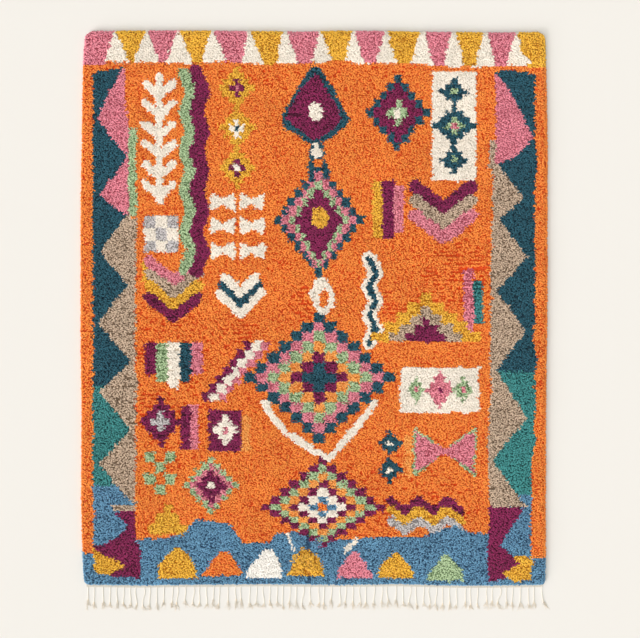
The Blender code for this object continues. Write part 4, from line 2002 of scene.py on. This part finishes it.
def add_backdrop():
    """A plain pale painted wall far behind, so that low views have no dark sky.

    It glows evenly, so that it looks flat and lit from everywhere, and it casts nothing.
    """
    material, _, shader = new_material("pale_backdrop")
    shader.inputs["Base Color"].default_value = (0, 0, 0, 1)
    shader.inputs["Specular IOR Level"].default_value = 0.0
    shader.inputs["Emission Color"].default_value = (*to_linear(BACKDROP), 1)
    shader.inputs["Emission Strength"].default_value = 1.0
    form = bmesh.new()
    bmesh.ops.create_circle(form, segments=48, radius=0.98 * FLOOR_REACH, cap_ends=False)
    bmesh.ops.translate(form, verts=form.verts[:], vec=(0, 0, -WALL_SUNK))
    edges = form.edges[:]
    for rise, spread in WALL_STAGES:
        made = bmesh.ops.extrude_edge_only(form, edges=edges)["geom"]
        verts = [part for part in made if isinstance(part, bmesh.types.BMVert)]
        edges = [part for part in made if isinstance(part, bmesh.types.BMEdge)]
        edges = [edge for edge in edges if all(vert in verts for vert in edge.verts)]
        bmesh.ops.scale(form, verts=verts, vec=(spread, spread, 1.0))
        bmesh.ops.translate(form, verts=verts, vec=(0, 0, rise))
    backdrop = finish_piece("backdrop", form, material)
    backdrop.data.flip_normals()
    backdrop.visible_shadow = False
    backdrop.visible_diffuse = False
    backdrop.visible_glossy = False


def build_stage():
    """A matt painted floor that looks even and pale, soft light, and a camera above.

    The light comes from the foot and the left.
    """
    material, _, shader = new_material("pale_floor")
    shader.inputs["Base Color"].default_value = (*to_linear(FLOOR), 1)
    shader.inputs["Roughness"].default_value = 0.9
    shader.inputs["Specular IOR Level"].default_value = 0.1
    form = bmesh.new()
    bmesh.ops.create_grid(form, x_segments=1, y_segments=1, size=FLOOR_REACH)
    floor = finish_piece("floor", form, material)
    add_backdrop()

    scene = bpy.context.scene
    world = bpy.data.worlds.new("soft_room")
    world.use_nodes = True
    background = world.node_tree.nodes["Background"]
    background.inputs["Color"].default_value = (*SKY_COLOUR, 1)
    background.inputs["Strength"].default_value = SKY_STRENGTH
    scene.world = world
    for light in LIGHTS:
        add_sun(*light)

    data = bpy.data.cameras.new("camera")
    data.lens = LENS
    data.sensor_width = SENSOR_WIDTH
    camera = bpy.data.objects.new("camera", data)
    rise = VIEW_WIDTH * LENS / SENSOR_WIDTH + VIEW_LEVEL
    camera.location = (MIDDLE + VIEW_CENTRE[0], HEAD - VIEW_CENTRE[1], rise)
    scene.collection.objects.link(camera)
    scene.camera = camera
    scene.view_settings.view_transform = "Standard"


def main():
    """Builds the rug and its stage."""
    chart = chart_knots()
    body = build_body(chart)
    tufts, yarn = build_tufts(chart)
    rim, rim_yarn = build_rim(chart)
    tousled, tousled_yarn = build_tousled()
    tufts = {key: np.concatenate([tufts[key], rim[key], tousled[key]]) for key in tufts}
    pieces = split_tufts(tufts, np.concatenate([yarn, rim_yarn, tousled_yarn]))
    build_strip()
    build_fringe()
    build_stage()


main()
